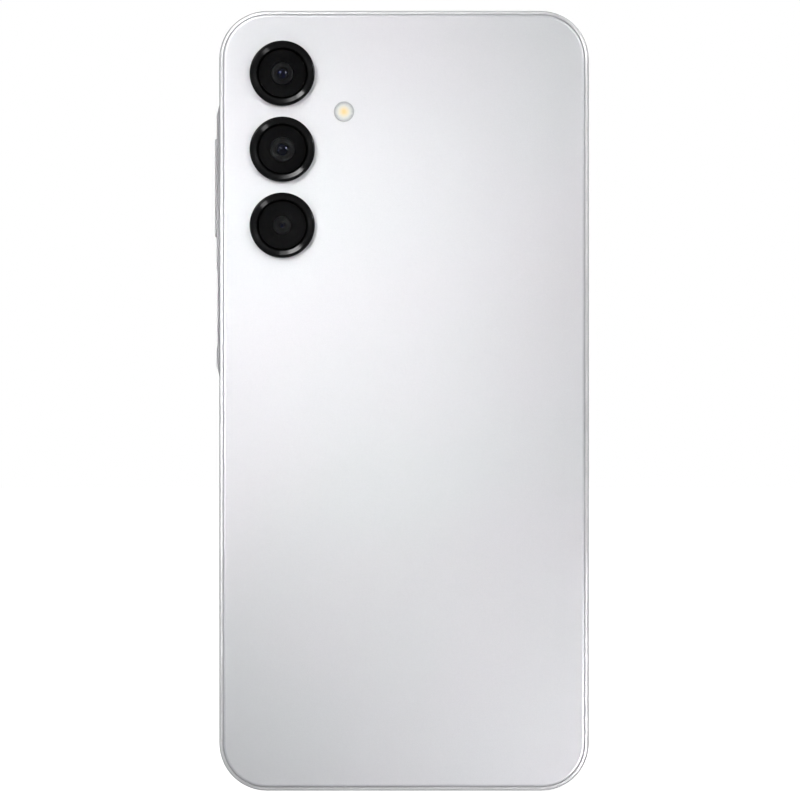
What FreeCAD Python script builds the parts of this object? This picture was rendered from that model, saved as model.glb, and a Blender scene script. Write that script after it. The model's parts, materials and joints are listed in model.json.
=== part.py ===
import FreeCAD, Part
import math
import os
import re

import Sketcher
from FreeCAD import Rotation, Vector

# A bar-shaped smartphone, built as the assembly of its separate pieces. Millimetres.
# Frame: +Z is up along the phone's height, the rear cover faces -Y and the screen faces +Y. The origin is
# the centre of the flat bottom edge. The keys are on the -X side and the card tray is on the +X side.

# Driving dimensions: alias, value in millimetres.
DIMENSIONS = {
    # the whole body
    "body_width": 77.9,
    "body_height": 164.4,
    "body_corner": 10.0,
    "back_face": -3.95,
    "front_face": 3.95,
    "gap": 0.05,
    "tape_depth": 0.1,
    # side frame
    "frame_back": -3.6,
    "frame_front": 3.75,
    "frame_wall": 2.0,
    "frame_back_round": 0.7,
    "frame_front_round": 0.9,
    # rear cover
    "cover_inset": 0.8,
    "cover_depth": 0.8,
    "cover_round": 0.6,
    # display, from the glass inwards
    "glass_inset": 0.9,
    "glass_depth": 0.7,
    "glass_round": 0.35,
    "panel_inset": 2.3,
    "panel_depth": 0.9,
    "foil_depth": 0.08,
    # mid plate, boards and brackets: levels along Y
    "plate_front": 2.2,
    "plate_back": 1.5,
    "board_front": 1.35,
    "board_back": 0.65,
    "bracket_front": -2.2,
    "bracket_back": -2.9,
    "board_inset": 2.75,
    # raised key island on the left side
    "island_rise": 0.6,
    "island_low": 87.3,
    "island_high": 144.8,
    "island_ramp": 2.4,
    "island_depth": 4.8,
    "island_bend": 3.0,
    "island_round": 0.4,
    "dish_depth": 0.14,
    "dish_length": 15.4,
    "dish_ramp": 0.9,
    # keys
    "key_clearance": 0.12,
    "key_round": 0.3,
    "volume_mid": 127.15,
    "volume_length": 20.8,
    "volume_width": 2.3,
    "volume_proud": 0.4,
    "power_mid": 101.6,
    "power_length": 14.0,
    "power_width": 2.8,
    "flange_gap": 0.3,
    "flange_depth": 0.5,
    "flange_reach": 0.8,
    "flange_width": 2.7,
    "nub_height": 0.3,
    "nub_radius": 0.5,
    "nub_spacing": 14.0,
    "rib_length": 2.0,
    "dome_gap": 0.27,
    "dome_height": 0.3,
    "dome_radius": 1.25,
    "dome_crown": 0.7,
    "key_flex_depth": 0.15,
    "key_flex_width": 2.6,
    "key_plate_depth": 0.3,
    "sensor_inset": 0.55,
    "sensor_depth": 0.25,
    # rear cameras: three rings in a column near the top left corner
    "camera_side": 13.3,
    "camera_top": 13.2,
    "camera_pitch": 16.0,
    "ring_radius": 6.88,
    "ring_height": 1.4,
    "ring_crown": 6.4,
    "ring_lip": 5.45,
    "ring_bore": 5.0,
    "ring_neck": 6.1,
    "ring_round": 0.32,
    "ring_seat": 0.5,
    "ring_tail": 0.75,
    "lens_glass_depth": 0.5,
    "main_square": 10.6,
    "main_barrel": 3.3,
    "main_nose": 2.45,
    "main_aperture": 1.25,
    "wide_square": 8.6,
    "wide_nose": 2.3,
    "wide_aperture": 1.1,
    "macro_square": 6.6,
    "macro_nose": 1.8,
    "macro_aperture": 0.45,
    "module_back": -2.9,
    "nose_tip": -4.1,
    "gasket_depth": 0.3,
    "gasket_width": 0.7,
    # flash
    "flash_side": 26.3,
    "flash_top": 21.25,
    "flash_radius": 2.08,
    "flash_flange": 2.9,
    # front camera and earpiece
    "selfie_top": 5.35,
    "selfie_square": 6.2,
    "selfie_nose": 2.1,
    "selfie_aperture": 0.9,
    "notch_radius": 2.75,
    "ear_slit_length": 12.4,
    "ear_slit_width": 0.45,
    "receiver_mid": 12.2,
    "receiver_length": 13.0,
    "receiver_width": 6.4,
    "receiver_depth": 2.1,
    # card tray on the right side
    "tray_mid": 129.5,
    "tray_width": 16.9,
    "tray_depth": 0.9,
    "tray_level": -0.1,
    "tray_tail": 15.3,
    "tray_rib": 1.0,
    "big_card": 15.1,
    "big_card_run": 11.1,
    "small_card": 12.4,
    "small_card_run": 8.9,
    "head_low": 120.2,
    "head_high": 141.0,
    "head_depth": 1.2,
    "head_width": 2.4,
    "neck_width": 1.7,
    "neck_low": 120.9,
    "neck_high": 140.3,
    "neck_run": 1.25,
    "pin_hole_mid": 139.15,
    "pin_hole_radius": 0.5,
    "socket_back": -1.0,
    "socket_tail": 11.25,
    "socket_wall": 0.15,
    "rod_width": 1.2,
    "rod_depth": 0.8,
    "rod_nose": 0.4,
    "lever_pivot_mid": 135.45,
    "lever_thickness": 1.0,
    "lever_half": 4.1,
    "lever_pin": 0.35,
    # battery and its wiring
    "cell_left": -34.0,
    "cell_right": 28.0,
    "cell_low": 30.0,
    "cell_high": 105.0,
    "cell_front": 1.38,
    "cell_corner": 2.2,
    "cell_edge": 0.9,
    "cell_terrace": 3.6,
    "guard_front": -0.4,
    "flex_depth": 0.15,
    "connector_height": 0.7,
    "display_lead_mid": 7.25,
    "display_lead_width": 8.5,
    "slot_low": 26.6,
    "main_flex_mid": 30.1,
    "main_flex_width": 3.0,
    "cable_radius": 0.4,
    "cable_level": -0.6,
    "cable_bend": 1.2,
    "cable_lane": 36.3,
    "cable_high": 113.6,
    "cable_low": 20.0,
    "plug_x": 33.3,
    "plug_radius": 0.9,
    # boards
    "main_board_left": -14.2,
    "main_board_low": 112.5,
    "main_board_step": 154.0,
    "sub_board_left": -7.0,
    "sub_board_top": 21.0,
    "bracket_chamfer": 6.2,
    "shield_left": -9.4,
    "shield_right": 10.6,
    "shield_height": 1.4,
    "shield_wall": 0.2,
    # screws
    "post_radius": 1.5,
    "post_clearance": 0.25,
    "thread_radius": 0.62,
    "screw_radius": 0.6,
    "screw_head": 1.25,
    "screw_head_depth": 0.42,
    "screw_length": 3.0,
    # bottom edge: connector, loudspeaker and microphone
    "usb_width": 8.94,
    "usb_height": 3.16,
    "usb_wall": 0.3,
    "usb_level": -0.1,
    "usb_front": 0.3,
    "usb_length": 7.3,
    "tongue_width": 6.69,
    "tongue_depth": 0.7,
    "tongue_front": 1.4,
    "tongue_root": 5.9,
    "grille_slot": 2.0,
    "grille_slot_width": 1.2,
    "grille_first": -12.9,
    "grille_pitch": 3.0,
    "grille_count": 6,
    "mic_radius": 0.5,
    "bottom_mic": 9.6,
    "top_mic": 27.0,
    "box_left": -36.1,
    "box_right": -8.5,
    "box_top": 20.4,
    "box_wall": 0.6,
    "box_ear_top": 26.0,
    "driver_width": 15.0,
    "driver_height": 11.0,
    "driver_front": 0.4,
    "motor_x": 25.0,
    "motor_z": 12.6,
    "motor_radius": 4.0,
    "motor_depth": 2.6,
    "motor_shaft": 0.4,
}

# Where the screws stand, as (x, z): on the upper bracket, on the lower one and on the loudspeaker's box.
UPPER_SCREWS = [(-33.2, 157.0), (-16.3, 127.2), (22.8, 158.6), (34.0, 144.6), (34.0, 116.2)]
LOWER_SCREWS = [(-3.6, 15.4), (14.5, 5.4), (33.6, 17.0)]
SPEAKER_SCREWS = [(-33.0, 23.2), (-11.2, 23.2)]

doc = FreeCAD.newDocument("smartphone")
sheet = doc.addObject("Spreadsheet::Sheet", "Dim")
nodes = []


# ---------------------------------------------------------------- dimensions and expressions


def fill_sheet():
    for row, (alias, value) in enumerate(DIMENSIONS.items(), start=1):
        sheet.set(f"A{row}", alias)
        sheet.set(f"B{row}", str(value))
        sheet.setAlias(f"B{row}", alias)
    doc.recompute()


def expr(text):
    """An expression over the sheet, written with bare aliases."""

    def full(word):
        return "Dim." + word.group() if word.group() in DIMENSIONS else word.group()

    return re.sub(r"[A-Za-z_]+", full, str(text))


def mm(text):
    return float(sheet.evalExpression(expr(text)))


def about(centre, size):
    """The span of a size centred on a place."""
    return f"({centre}) - ({size})/2", f"({centre}) + ({size})/2"


def node(feature, name):
    """Marks a finished feature as a sub-part of that name."""
    feature.Label = name
    nodes.append(feature)
    return feature


# ---------------------------------------------------------------- sketches

PLANES = {"XZ": (1, -1), "YZ": (0, 1), "XY": (2, 1)}  # the axis that each plane faces, and which way


def quarter_arc(centre, radius, start):
    """An arc of a quarter turn, which starts after that many quarter turns."""
    whole = Part.Circle(Vector(*centre), Vector(0, 0, 1), radius)
    return Part.ArcOfCircle(whole, start * math.pi / 2, (start + 1) * math.pi / 2)


def rounded(u, v, radius):
    """A rounded rectangle between the spans u and v."""

    def draw(sketch):
        (u0, u1), (v0, v1), r = map(mm, u), map(mm, v), mm(radius)
        first = sketch.GeometryCount
        corners = [(u1 - r, v0 + r), (u1 - r, v1 - r), (u0 + r, v1 - r), (u0 + r, v0 + r)]
        sides = [
            ((u0 + r, v0), (u1 - r, v0)),
            ((u1, v0 + r), (u1, v1 - r)),
            ((u1 - r, v1), (u0 + r, v1)),
            ((u0, v1 - r), (u0, v0 + r)),
        ]
        for i, (side, centre) in enumerate(zip(sides, corners)):
            sketch.addGeometry(Part.LineSegment(Vector(*side[0]), Vector(*side[1])))
            sketch.addGeometry(quarter_arc(centre, r, i - 1))
        for i in range(8):
            sketch.addConstraint(Sketcher.Constraint("Tangent", first + i, 2, first + (i + 1) % 8, 1))
        for i in range(4):
            direction = "Vertical" if i % 2 else "Horizontal"
            sketch.addConstraint(Sketcher.Constraint(direction, first + 2 * i))
        for i in (3, 5, 7):
            sketch.addConstraint(Sketcher.Constraint("Equal", first + 1, first + i))
        size(sketch, "Radius", (first + 1,), radius)
        size(sketch, "DistanceX", (-1, 1, first + 6, 1), u[0])
        size(sketch, "DistanceY", (-1, 1, first, 1), v[0])
        size(sketch, "DistanceX", (first + 6, 1, first + 2, 1), f"({u[1]}) - ({u[0]})")
        size(sketch, "DistanceY", (first, 1, first + 4, 1), f"({v[1]}) - ({v[0]})")

    return draw


def inset(depth):
    """The phone's outline, moved in from its edge by a depth."""
    return rounded(
        (f"-body_width/2 + {depth}", f"body_width/2 - {depth}"),
        (f"{depth}", f"body_height - {depth}"),
        f"body_corner - {depth}",
    )


def polygon(points):
    def draw(sketch):
        first, count = sketch.GeometryCount, len(points)
        places = [Vector(mm(u), mm(v)) for u, v in points]
        for i in range(count):
            sketch.addGeometry(Part.LineSegment(places[i], places[(i + 1) % count]))
        for i in range(count):
            sketch.addConstraint(Sketcher.Constraint("Coincident", first + i, 2, first + (i + 1) % count, 1))
        for i, (u, v) in enumerate(points):
            size(sketch, "DistanceX", (-1, 1, first + i, 1), u)
            size(sketch, "DistanceY", (-1, 1, first + i, 1), v)

    return draw


def corner_waste(u, v, radius, side):
    """What rounding the corner at (u, v) takes away: it points to -u, and to +v or -v by its side."""

    def draw(sketch):
        first, over = sketch.GeometryCount, 0.2
        r, cu, cv = mm(radius), mm(u), mm(v)
        centre = (cu + r, cv - side * r)
        sketch.addGeometry(quarter_arc(centre, r, 1 if side > 0 else 2))
        ends = [(cu, cv - side * r), (cu - over, cv - side * r), (cu - over, cv + side * over)]
        ends += [(cu + r, cv + side * over), (cu + r, cv)]
        for a, b in zip(ends, ends[1:]):
            sketch.addGeometry(Part.LineSegment(Vector(*a), Vector(*b)))
        inner, outer = (2, 1) if side > 0 else (1, 2)
        sketch.addConstraint(Sketcher.Constraint("Coincident", first, inner, first + 1, 1))
        for i in range(1, 4):
            sketch.addConstraint(Sketcher.Constraint("Coincident", first + i, 2, first + i + 1, 1))
        sketch.addConstraint(Sketcher.Constraint("Coincident", first + 4, 2, first, outer))
        for i in (1, 3):
            sketch.addConstraint(Sketcher.Constraint("Horizontal", first + i))
            sketch.addConstraint(Sketcher.Constraint("Vertical", first + i + 1))
        size(sketch, "Radius", (first,), radius)
        size(sketch, "DistanceX", (-1, 1, first, 3), f"({u}) + ({radius})")
        size(sketch, "DistanceY", (-1, 1, first, 3), f"({v}) - ({side} * {radius})")
        size(sketch, "DistanceY", (-1, 1, first, inner), f"({v}) - ({side} * {radius})")
        size(sketch, "DistanceX", (-1, 1, first, outer), f"({u}) + ({radius})")
        size(sketch, "DistanceX", (-1, 1, first + 1, 2), f"({u}) - {over}")
        size(sketch, "DistanceY", (-1, 1, first + 2, 2), f"({v}) + ({side} * {over})")

    return draw


def rectangle(u, v):
    return polygon([(u[0], v[0]), (u[1], v[0]), (u[1], v[1]), (u[0], v[1])])


def circle(u, v, radius):
    def draw(sketch):
        first = sketch.GeometryCount
        sketch.addGeometry(Part.Circle(Vector(mm(u), mm(v)), Vector(0, 0, 1), mm(radius)))
        size(sketch, "Radius", (first,), radius)
        size(sketch, "DistanceX", (-1, 1, first, 3), u)
        size(sketch, "DistanceY", (-1, 1, first, 3), v)

    return draw


def size(sketch, kind, elements, text):
    """A dimension of the sketch, bound to the sheet."""
    index = sketch.addConstraint(Sketcher.Constraint(kind, *elements, mm(text)))
    sketch.setExpression(f"Constraints[{index}]", expr(text))


def sketch_on(body, plane, level, outlines):
    sketch = body.newObject("Sketcher::SketchObject", body.Name + "_sketch")
    role = plane + "_Plane"
    sketch.AttachmentSupport = [(next(f for f in body.Origin.OriginFeatures if f.Role == role), "")]
    sketch.MapMode = "FlatFace"
    sketch.setExpression("AttachmentOffset.Base.z", expr(f"{PLANES[plane][1]} * ({level})"))
    for outline in outlines:
        outline(sketch)
    return sketch


# ---------------------------------------------------------------- PartDesign features


def new_body(name):
    body = doc.addObject("PartDesign::Body", name)
    body.Label = name
    return body


def pad(body, plane, outlines, span):
    """Adds what the outlines enclose between the two levels of the span."""
    low, high = span
    sketch = sketch_on(body, plane, low if PLANES[plane][1] > 0 else high, outlines)
    feature = body.newObject("PartDesign::Pad", body.Name + "_pad")
    feature.Profile = sketch
    feature.setExpression("Length", expr(f"({high}) - ({low})"))
    doc.recompute()
    return feature


def pocket(body, plane, outlines, span):
    """Removes what the outlines enclose between the two levels of the span."""
    low, high = span
    before = body.Shape.Volume
    sketch = sketch_on(body, plane, high if PLANES[plane][1] > 0 else low, outlines)
    feature = body.newObject("PartDesign::Pocket", body.Name + "_pocket")
    feature.Profile = sketch
    feature.setExpression("Length", expr(f"({high}) - ({low})"))
    doc.recompute()
    if body.Shape.Volume > before - 1e-4:
        raise RuntimeError(f"a pocket in {body.Name} removes nothing")
    return feature


def fillet(body, radius, chosen):
    """Rounds the edges of the body's tip whose bounding box passes the test."""
    tip = body.Tip
    names = [f"Edge{i}" for i, e in enumerate(tip.Shape.Edges, start=1) if chosen(e.BoundBox)]
    if not names:
        raise RuntimeError(f"no edge to round in {body.Name}")
    feature = body.newObject("PartDesign::Fillet", body.Name + "_round")
    feature.Base = (tip, names)
    feature.setExpression("Radius", expr(radius))
    doc.recompute()
    return feature


def near(value, text):
    return abs(value - mm(text)) < 1e-3


def flat_at(axis, level):
    """A test for edges that lie wholly in one plane across an axis."""
    return lambda box: near(getattr(box, axis + "Min"), level) and near(getattr(box, axis + "Max"), level)


def slab(name, outlines, span):
    """A plate that faces the back of the phone."""
    body = new_body(name)
    pad(body, "XZ", outlines, span)
    return body


def turned(name, profile, x="0", z="0"):
    """A piece turned about an axis along Y at (x, z), from a profile of (radius, y) points."""
    body = new_body(name)
    sketch = sketch_on(body, "XY", "0", [polygon(profile)])
    feature = body.newObject("PartDesign::Revolution", name + "_turn")
    feature.Profile = sketch
    feature.ReferenceAxis = (sketch, ["V_Axis"])
    feature.Angle = 360
    body.setExpression("Placement.Base.x", expr(x))
    body.setExpression("Placement.Base.z", expr(z))
    doc.recompute()
    return body


# ---------------------------------------------------------------- Part primitives and booleans


def block(name, x, y, z):
    box = doc.addObject("Part::Box", name)
    for side, axis, span in (("Length", "x", x), ("Width", "y", y), ("Height", "z", z)):
        box.setExpression(side, expr(f"({span[1]}) - ({span[0]})"))
        box.setExpression(f"Placement.Base.{axis}", expr(span[0]))
    return box


TURNS = {"x": Rotation(Vector(0, 1, 0), 90), "y": Rotation(Vector(1, 0, 0), -90), "z": Rotation()}


def round_bar(name, axis, x, y, z, radius, top_radius=None):
    """A cylinder or cone along an axis: that axis is given as a span, and the others as single places."""
    bar = doc.addObject("Part::Cone" if top_radius else "Part::Cylinder", name)
    places = {"x": x, "y": y, "z": z}
    low, high = places[axis]
    if top_radius:
        bar.setExpression("Radius1", expr(radius))
        bar.setExpression("Radius2", expr(top_radius))
    else:
        bar.setExpression("Radius", expr(radius))
    bar.setExpression("Height", expr(f"({high}) - ({low})"))
    bar.Placement.Rotation = TURNS[axis]
    for other, place in places.items():
        bar.setExpression(f"Placement.Base.{other}", expr(low if other == axis else place))
    return bar


def ball(name, x, y, z, radius):
    sphere = doc.addObject("Part::Sphere", name)
    sphere.setExpression("Radius", expr(radius))
    for axis, place in (("x", x), ("y", y), ("z", z)):
        sphere.setExpression(f"Placement.Base.{axis}", expr(place))
    return sphere


def boolean(kind, name, base, tool):
    feature = doc.addObject("Part::" + kind, name)
    feature.Base, feature.Tool = base, tool
    doc.recompute()
    return feature


def fuse(name, pieces):
    feature = doc.addObject("Part::MultiFuse", name)
    feature.Shapes = pieces
    doc.recompute()
    return feature


def group(name, pieces):
    """Several separate solids kept as one sub-part."""
    feature = doc.addObject("Part::Compound", name)
    feature.Links = pieces
    doc.recompute()
    return feature


# ---------------------------------------------------------------- shared places

WALL = "-body_width/2"
CAMERA_X = "-body_width/2 + camera_side"
CAMERAS = {
    "top": "body_height - camera_top",
    "middle": "body_height - camera_top - camera_pitch",
    "bottom": "body_height - camera_top - 2*camera_pitch",
}
MODULES = {"wide": "top", "main": "middle", "macro": "bottom"}
FLASH_X = "-body_width/2 + flash_side"
FLASH_Z = "body_height - flash_top"
SELFIE_Z = "body_height - selfie_top"
COVER_INNER = "back_face + cover_depth"
GLASS_INNER = "front_face - glass_depth"
PANEL_INNER = "front_face - glass_depth - panel_depth"
CAVITY = "frame_wall"
FLANGE_X = "-body_width/2 + frame_wall + flange_gap"
DOME_TOP_X = f"{FLANGE_X} + flange_depth + nub_height + dome_gap"
KEY_FLEX_X = f"{DOME_TOP_X} + dome_height"
FLEX_LEVEL = ("board_back - connector_height - flex_depth", "board_back - connector_height")


# ---------------------------------------------------------------- shell


def side_frame():
    body = new_body("side_frame")
    pad(body, "XZ", [inset("0")], ("frame_back", "frame_front"))
    fillet(body, "frame_back_round", flat_at("Y", "frame_back"))
    fillet(body, "frame_front_round", flat_at("Y", "frame_front"))
    pocket(body, "XZ", [inset(CAVITY)], ("frame_back", "frame_front"))
    pocket(body, "XZ", [inset("(cover_inset - gap)")], ("frame_back", f"{COVER_INNER} + tape_depth"))
    pocket(body, "XZ", [inset("(glass_inset - gap)")], (f"{GLASS_INNER} - tape_depth", "frame_front"))
    add_key_island(body)
    # key slots through the left wall
    left = (f"{WALL} - island_rise", f"{WALL} + frame_wall")
    for key in ("volume", "power"):
        width, length = f"{key}_width + 2*key_clearance", f"{key}_length + 2*key_clearance"
        hole = rounded(about("0", width), about(f"{key}_mid", length), f"({width})/2.1")
        pocket(body, "YZ", [hole], left)
    # card tray slot through the right wall
    tray_z = ("head_low - key_clearance", "head_high + key_clearance")
    tray_y = about("tray_level", "head_width + 2*key_clearance")
    right = ("body_width/2 - frame_wall", "body_width/2")
    pocket(body, "YZ", [rounded(tray_y, tray_z, "head_width/2.1")], right)
    # connector, loudspeaker slots and microphone holes through the bottom and top walls
    bottom = ("0", "frame_wall")
    usb_y = about("usb_level", "usb_height + 2*gap")
    usb_hole = rounded(about("0", "usb_width + 2*gap"), usb_y, "usb_height/2.05")
    pocket(body, "XY", [usb_hole], bottom)
    slot_y = about("0", "grille_slot_width")
    slot = rounded(about("grille_first", "grille_slot"), slot_y, "grille_slot_width/2.05")
    repeat_slot(body, pocket(body, "XY", [slot], bottom))
    pocket(body, "XY", [circle("bottom_mic", "0", "mic_radius")], bottom)
    pocket(body, "XY", [circle("top_mic", "0", "mic_radius")], ("body_height - frame_wall", "body_height"))
    # sound channel from the earpiece slit into the cavity
    channel_z = ("body_height - frame_wall - 0.5", "body_height - glass_inset")
    channel = rectangle(about("0", "ear_slit_length"), channel_z)
    pocket(body, "XZ", [channel], ("plate_front", f"{GLASS_INNER}"))
    return body


def add_key_island(body):
    """The low rise along the left side that carries the keys, with a dish round the power key."""
    top = f"{WALL} - island_rise"
    dish = f"{top} + dish_depth"
    dish_low, dish_high = about("power_mid", "dish_length")
    root = f"{WALL} + 0.5"
    outline = [
        (root, "island_low"),
        (WALL, "island_low"),
        (top, "island_low + island_ramp"),
        (top, f"{dish_low} - dish_ramp"),
        (dish, dish_low),
        (dish, dish_high),
        (top, f"{dish_high} + dish_ramp"),
        (top, "island_high - island_ramp"),
        (WALL, "island_high"),
        (root, "island_high"),
    ]
    pad(body, "XZ", [polygon(outline)], about("0", "island_depth"))
    bends = [mm(z) for _, z in outline[1:9]]

    def is_bend(box):
        level = any(abs(box.ZMin - z) < 1e-3 and abs(box.ZMax - z) < 1e-3 for z in bends)
        return level and box.XMax < mm(WALL) + 1e-3 and abs(box.YLength - mm("island_depth")) < 1e-3

    fillet(body, "island_bend", is_bend)
    rims = [corner_waste(top, f"{side} * island_depth/2", "island_round", side) for side in (1, -1)]
    pocket(body, "XY", rims, ("island_low", "island_high"))


def repeat_slot(body, slot):
    """The loudspeaker slots, repeated along the bottom edge towards -X."""
    pattern = body.newObject("PartDesign::LinearPattern", "grille_pattern")
    pattern.Originals = [slot]
    pattern.Direction = (next(f for f in body.Origin.OriginFeatures if f.Role == "X_Axis"), [""])
    pattern.Reversed = True
    pattern.setExpression("Length", expr("grille_pitch * (grille_count - 1)"))
    pattern.setExpression("Occurrences", expr("grille_count"))
    before = body.Shape.Volume
    body.Tip = pattern
    doc.recompute()
    if body.Shape.Volume > before - 1e-3:
        raise RuntimeError("the slot pattern removes nothing")


def mid_plate():
    """The metal plate that carries the display in front and the boards and battery behind."""
    body = new_body("mid_plate")
    pad(body, "XZ", [inset(f"({CAVITY} + gap)")], ("plate_back", "plate_front"))
    sites = UPPER_SCREWS + LOWER_SCREWS + SPEAKER_SCREWS
    posts = [circle(x, z, "post_radius") for x, z in sites]
    pad(body, "XZ", posts, ("bracket_front", "plate_back"))
    threads = [circle(x, z, "thread_radius") for x, z in sites]
    pocket(body, "XZ", threads, ("bracket_front", "bracket_front + screw_length + 0.3"))
    through = ("plate_back", "plate_front")
    square = rectangle(about("0", "selfie_square + 0.4"), about(SELFIE_Z, "selfie_square + 0.4"))
    slot = rectangle(about("display_lead_mid", "display_lead_width + 2"), ("slot_low", "slot_low + 1"))
    pocket(body, "XZ", [square, slot], through)
    usb = rectangle(about("0", "usb_width + 1"), (f"{CAVITY} + gap - 0.1", "usb_front + usb_length + 0.3"))
    pocket(body, "XZ", [usb], ("plate_back", "plate_back + 0.25"))
    fillet(body, "0.3", flat_at("Y", "plate_front"))
    return body


def rear_cover():
    body = slab("rear_cover", [inset("cover_inset")], ("back_face", COVER_INNER))
    fillet(body, "cover_round", flat_at("Y", "back_face"))
    holes = [circle(CAMERA_X, z, "ring_neck + gap") for z in CAMERAS.values()]
    holes.append(circle(FLASH_X, FLASH_Z, "flash_radius + gap"))
    pocket(body, "XZ", holes, ("back_face", COVER_INNER))
    return body


def frame_tape(name, outer, span):
    """A closed strip of adhesive on the frame's ledge."""
    body = slab(name, [inset(outer)], span)
    pocket(body, "XZ", [inset(f"({CAVITY} - gap)")], span)
    return body


def display_glass():
    body = slab("display_glass", [inset("glass_inset")], (GLASS_INNER, "front_face"))
    fillet(body, "glass_round", flat_at("Y", "front_face"))
    top = "body_height - glass_inset"
    slit = rectangle(about("0", "ear_slit_length"), (f"{top} - ear_slit_width", top))
    pocket(body, "XZ", [slit], (GLASS_INNER, "front_face"))
    return body


def display_panel():
    body = slab("display_panel", [inset("panel_inset")], (PANEL_INNER, f"{GLASS_INNER} - gap/2"))
    notch = [
        circle("0", SELFIE_Z, "notch_radius"),
    ]
    pocket(body, "XZ", notch, (PANEL_INNER, GLASS_INNER))
    mouth = rectangle(about("0", "2*notch_radius"), (SELFIE_Z, "body_height - panel_inset + 1"))
    pocket(body, "XZ", [mouth], (PANEL_INNER, GLASS_INNER))
    return body


def display_foil():
    """The copper and graphite sheet on the back of the display panel."""
    body = slab("display_foil", [inset("(panel_inset + 1)")], (f"{PANEL_INNER} - foil_depth", PANEL_INNER))
    window = rectangle(about("0", "selfie_square + 1"), (f"{SELFIE_Z} - 4", "body_height - panel_inset"))
    pocket(body, "XZ", [window], (f"{PANEL_INNER} - foil_depth", PANEL_INNER))
    return body


def display_flex():
    """Runs from the panel through the mid plate's slot and down to the lower board."""
    width = about("display_lead_mid", "display_lead_width")
    back = f"{PANEL_INNER} - foil_depth - 0.01"
    leaf = block("flex_leaf", width, (f"{back} - 0.05", back), ("slot_low + 0.4", "slot_low + 9.4"))
    drop = block("flex_drop", width, (FLEX_LEVEL[0], back), ("slot_low + 0.4", "slot_low + 0.55"))
    tail = block("flex_tail", width, FLEX_LEVEL, ("17.4", "slot_low + 0.55"))
    return fuse("display_flex", [leaf, drop, tail])


# ---------------------------------------------------------------- rear cameras and flash


def out(distance):
    """A level outside the rear cover's face, or inside it where the distance is negative."""
    return f"back_face - ({distance})"


def camera_ring(name, z):
    profile = [
        ("ring_bore", out("-ring_tail")),
        ("ring_neck", out("-ring_tail")),
        ("ring_neck", out("gap/2")),
        ("ring_radius", out("gap/2")),
        ("ring_radius", out("ring_height")),
        ("ring_crown - 0.12", out("ring_height")),
        ("ring_lip", out("ring_height - 0.42")),
        ("ring_lip", out("ring_seat")),
        ("ring_bore", out("ring_seat")),
    ]
    body = turned(name, profile, CAMERA_X, z)

    def is_rim(box):
        return flat_at("Y", out("ring_height"))(box) and box.XLength > 2 * mm("ring_radius") - 0.2

    fillet(body, "ring_round", is_rim)
    return body


def camera_glass(name, z):
    rim, face, seat = "ring_lip - 0.03", out("ring_seat + lens_glass_depth"), out("ring_seat")
    return turned(name, [("0", seat), (rim, seat), (rim, face), ("0", face)], CAMERA_X, z)


def camera_gaskets():
    """Foam rings that seal each camera module against its ring's tail."""
    inner = ("ring_bore + 0.1", "ring_bore + 0.1 + gasket_width")
    near_side, far_side = out("-ring_tail"), out("-ring_tail - gasket_depth")
    profile = [(inner[0], near_side), (inner[1], near_side), (inner[1], far_side), (inner[0], far_side)]
    return group("camera_gaskets", [turned(f"gasket_{k}", profile, CAMERA_X, z) for k, z in CAMERAS.items()])


def main_camera_housing():
    z = CAMERAS["middle"]
    square = rectangle(about(CAMERA_X, "main_square"), about(z, "main_square"))
    body = slab("main_camera_housing", [square], ("module_back", "board_front"))
    pocket(body, "XZ", [circle(CAMERA_X, z, "main_barrel + 0.08")], ("module_back", "board_front - 0.6"))
    window = rectangle(about(CAMERA_X, "main_square - 2"), about(z, "main_square - 2"))
    pocket(body, "XZ", [window], ("board_front - 1.5", "board_front - 0.6"))
    return body


def barrel_profile(foot, shoulder_radius, nose, aperture):
    """A lens barrel: a foot, a shoulder, a nose with a conical mouth, and a bore for the lens."""
    return [
        (f"{aperture} + 0.25", foot),
        (shoulder_radius, foot),
        (shoulder_radius, "nose_tip + 1.2"),
        (f"{nose} + 0.3", "nose_tip + 0.9"),
        (nose, "nose_tip"),
        (f"{aperture} + 0.35", "nose_tip"),
        (aperture, "nose_tip + 0.3"),
        (aperture, "nose_tip + 1.5"),
        (f"{aperture} + 0.25", "nose_tip + 1.8"),
    ]


def main_camera_barrel():
    profile = barrel_profile("board_front - 1.6", "main_barrel", "main_nose", "main_aperture")
    return turned("main_camera_barrel", profile, CAMERA_X, CAMERAS["middle"])


def main_camera_sensor():
    z = CAMERAS["middle"]
    span = ("board_front - 0.95", "board_front - 0.62")
    return block("main_camera_sensor", about(CAMERA_X, "7.2"), span, about(z, "5.6"))


def fixed_camera(kind):
    """A fixed-focus module: a square base with its lens barrel in one piece."""
    z = CAMERAS[MODULES[kind]]
    square = f"{kind}_square"
    depth = ("module_back + 0.8", "board_front")
    base = block(f"{kind}_base", about(CAMERA_X, square), depth, about(z, square))
    profile = barrel_profile("module_back + 0.8", f"{kind}_nose + 0.6", f"{kind}_nose", f"{kind}_aperture")
    barrel = turned(f"{kind}_barrel", profile, CAMERA_X, z)
    return fuse(f"{kind}_camera_module", [base, barrel])


def rear_lens(kind):
    """The front glass element in its bore, domed towards the back of the phone."""
    z, radius, tip = CAMERAS[MODULES[kind]], f"{kind}_aperture - 0.02", "nose_tip + 0.35"
    disc = round_bar(f"{kind}_disc", "y", CAMERA_X, (tip, f"{tip} + 0.9"), z, radius)
    curve = f"2.2 * {kind}_aperture"
    dome = ball(f"{kind}_dome", CAMERA_X, f"{tip} + {curve}", z, curve)
    return boolean("Common", f"{kind}_lens", disc, dome)


def camera_flexes():
    """Flat leads from the three modules to their sockets on the main board."""
    strips = []
    for kind, place in MODULES.items():
        z = CAMERAS[place]
        edge = f"{CAMERA_X} + {kind}_square/2"
        strips.append(block(f"{kind}_lead", (edge, "-10.4"), FLEX_LEVEL, about(z, "3.2")))
    return group("camera_flexes", strips)


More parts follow.
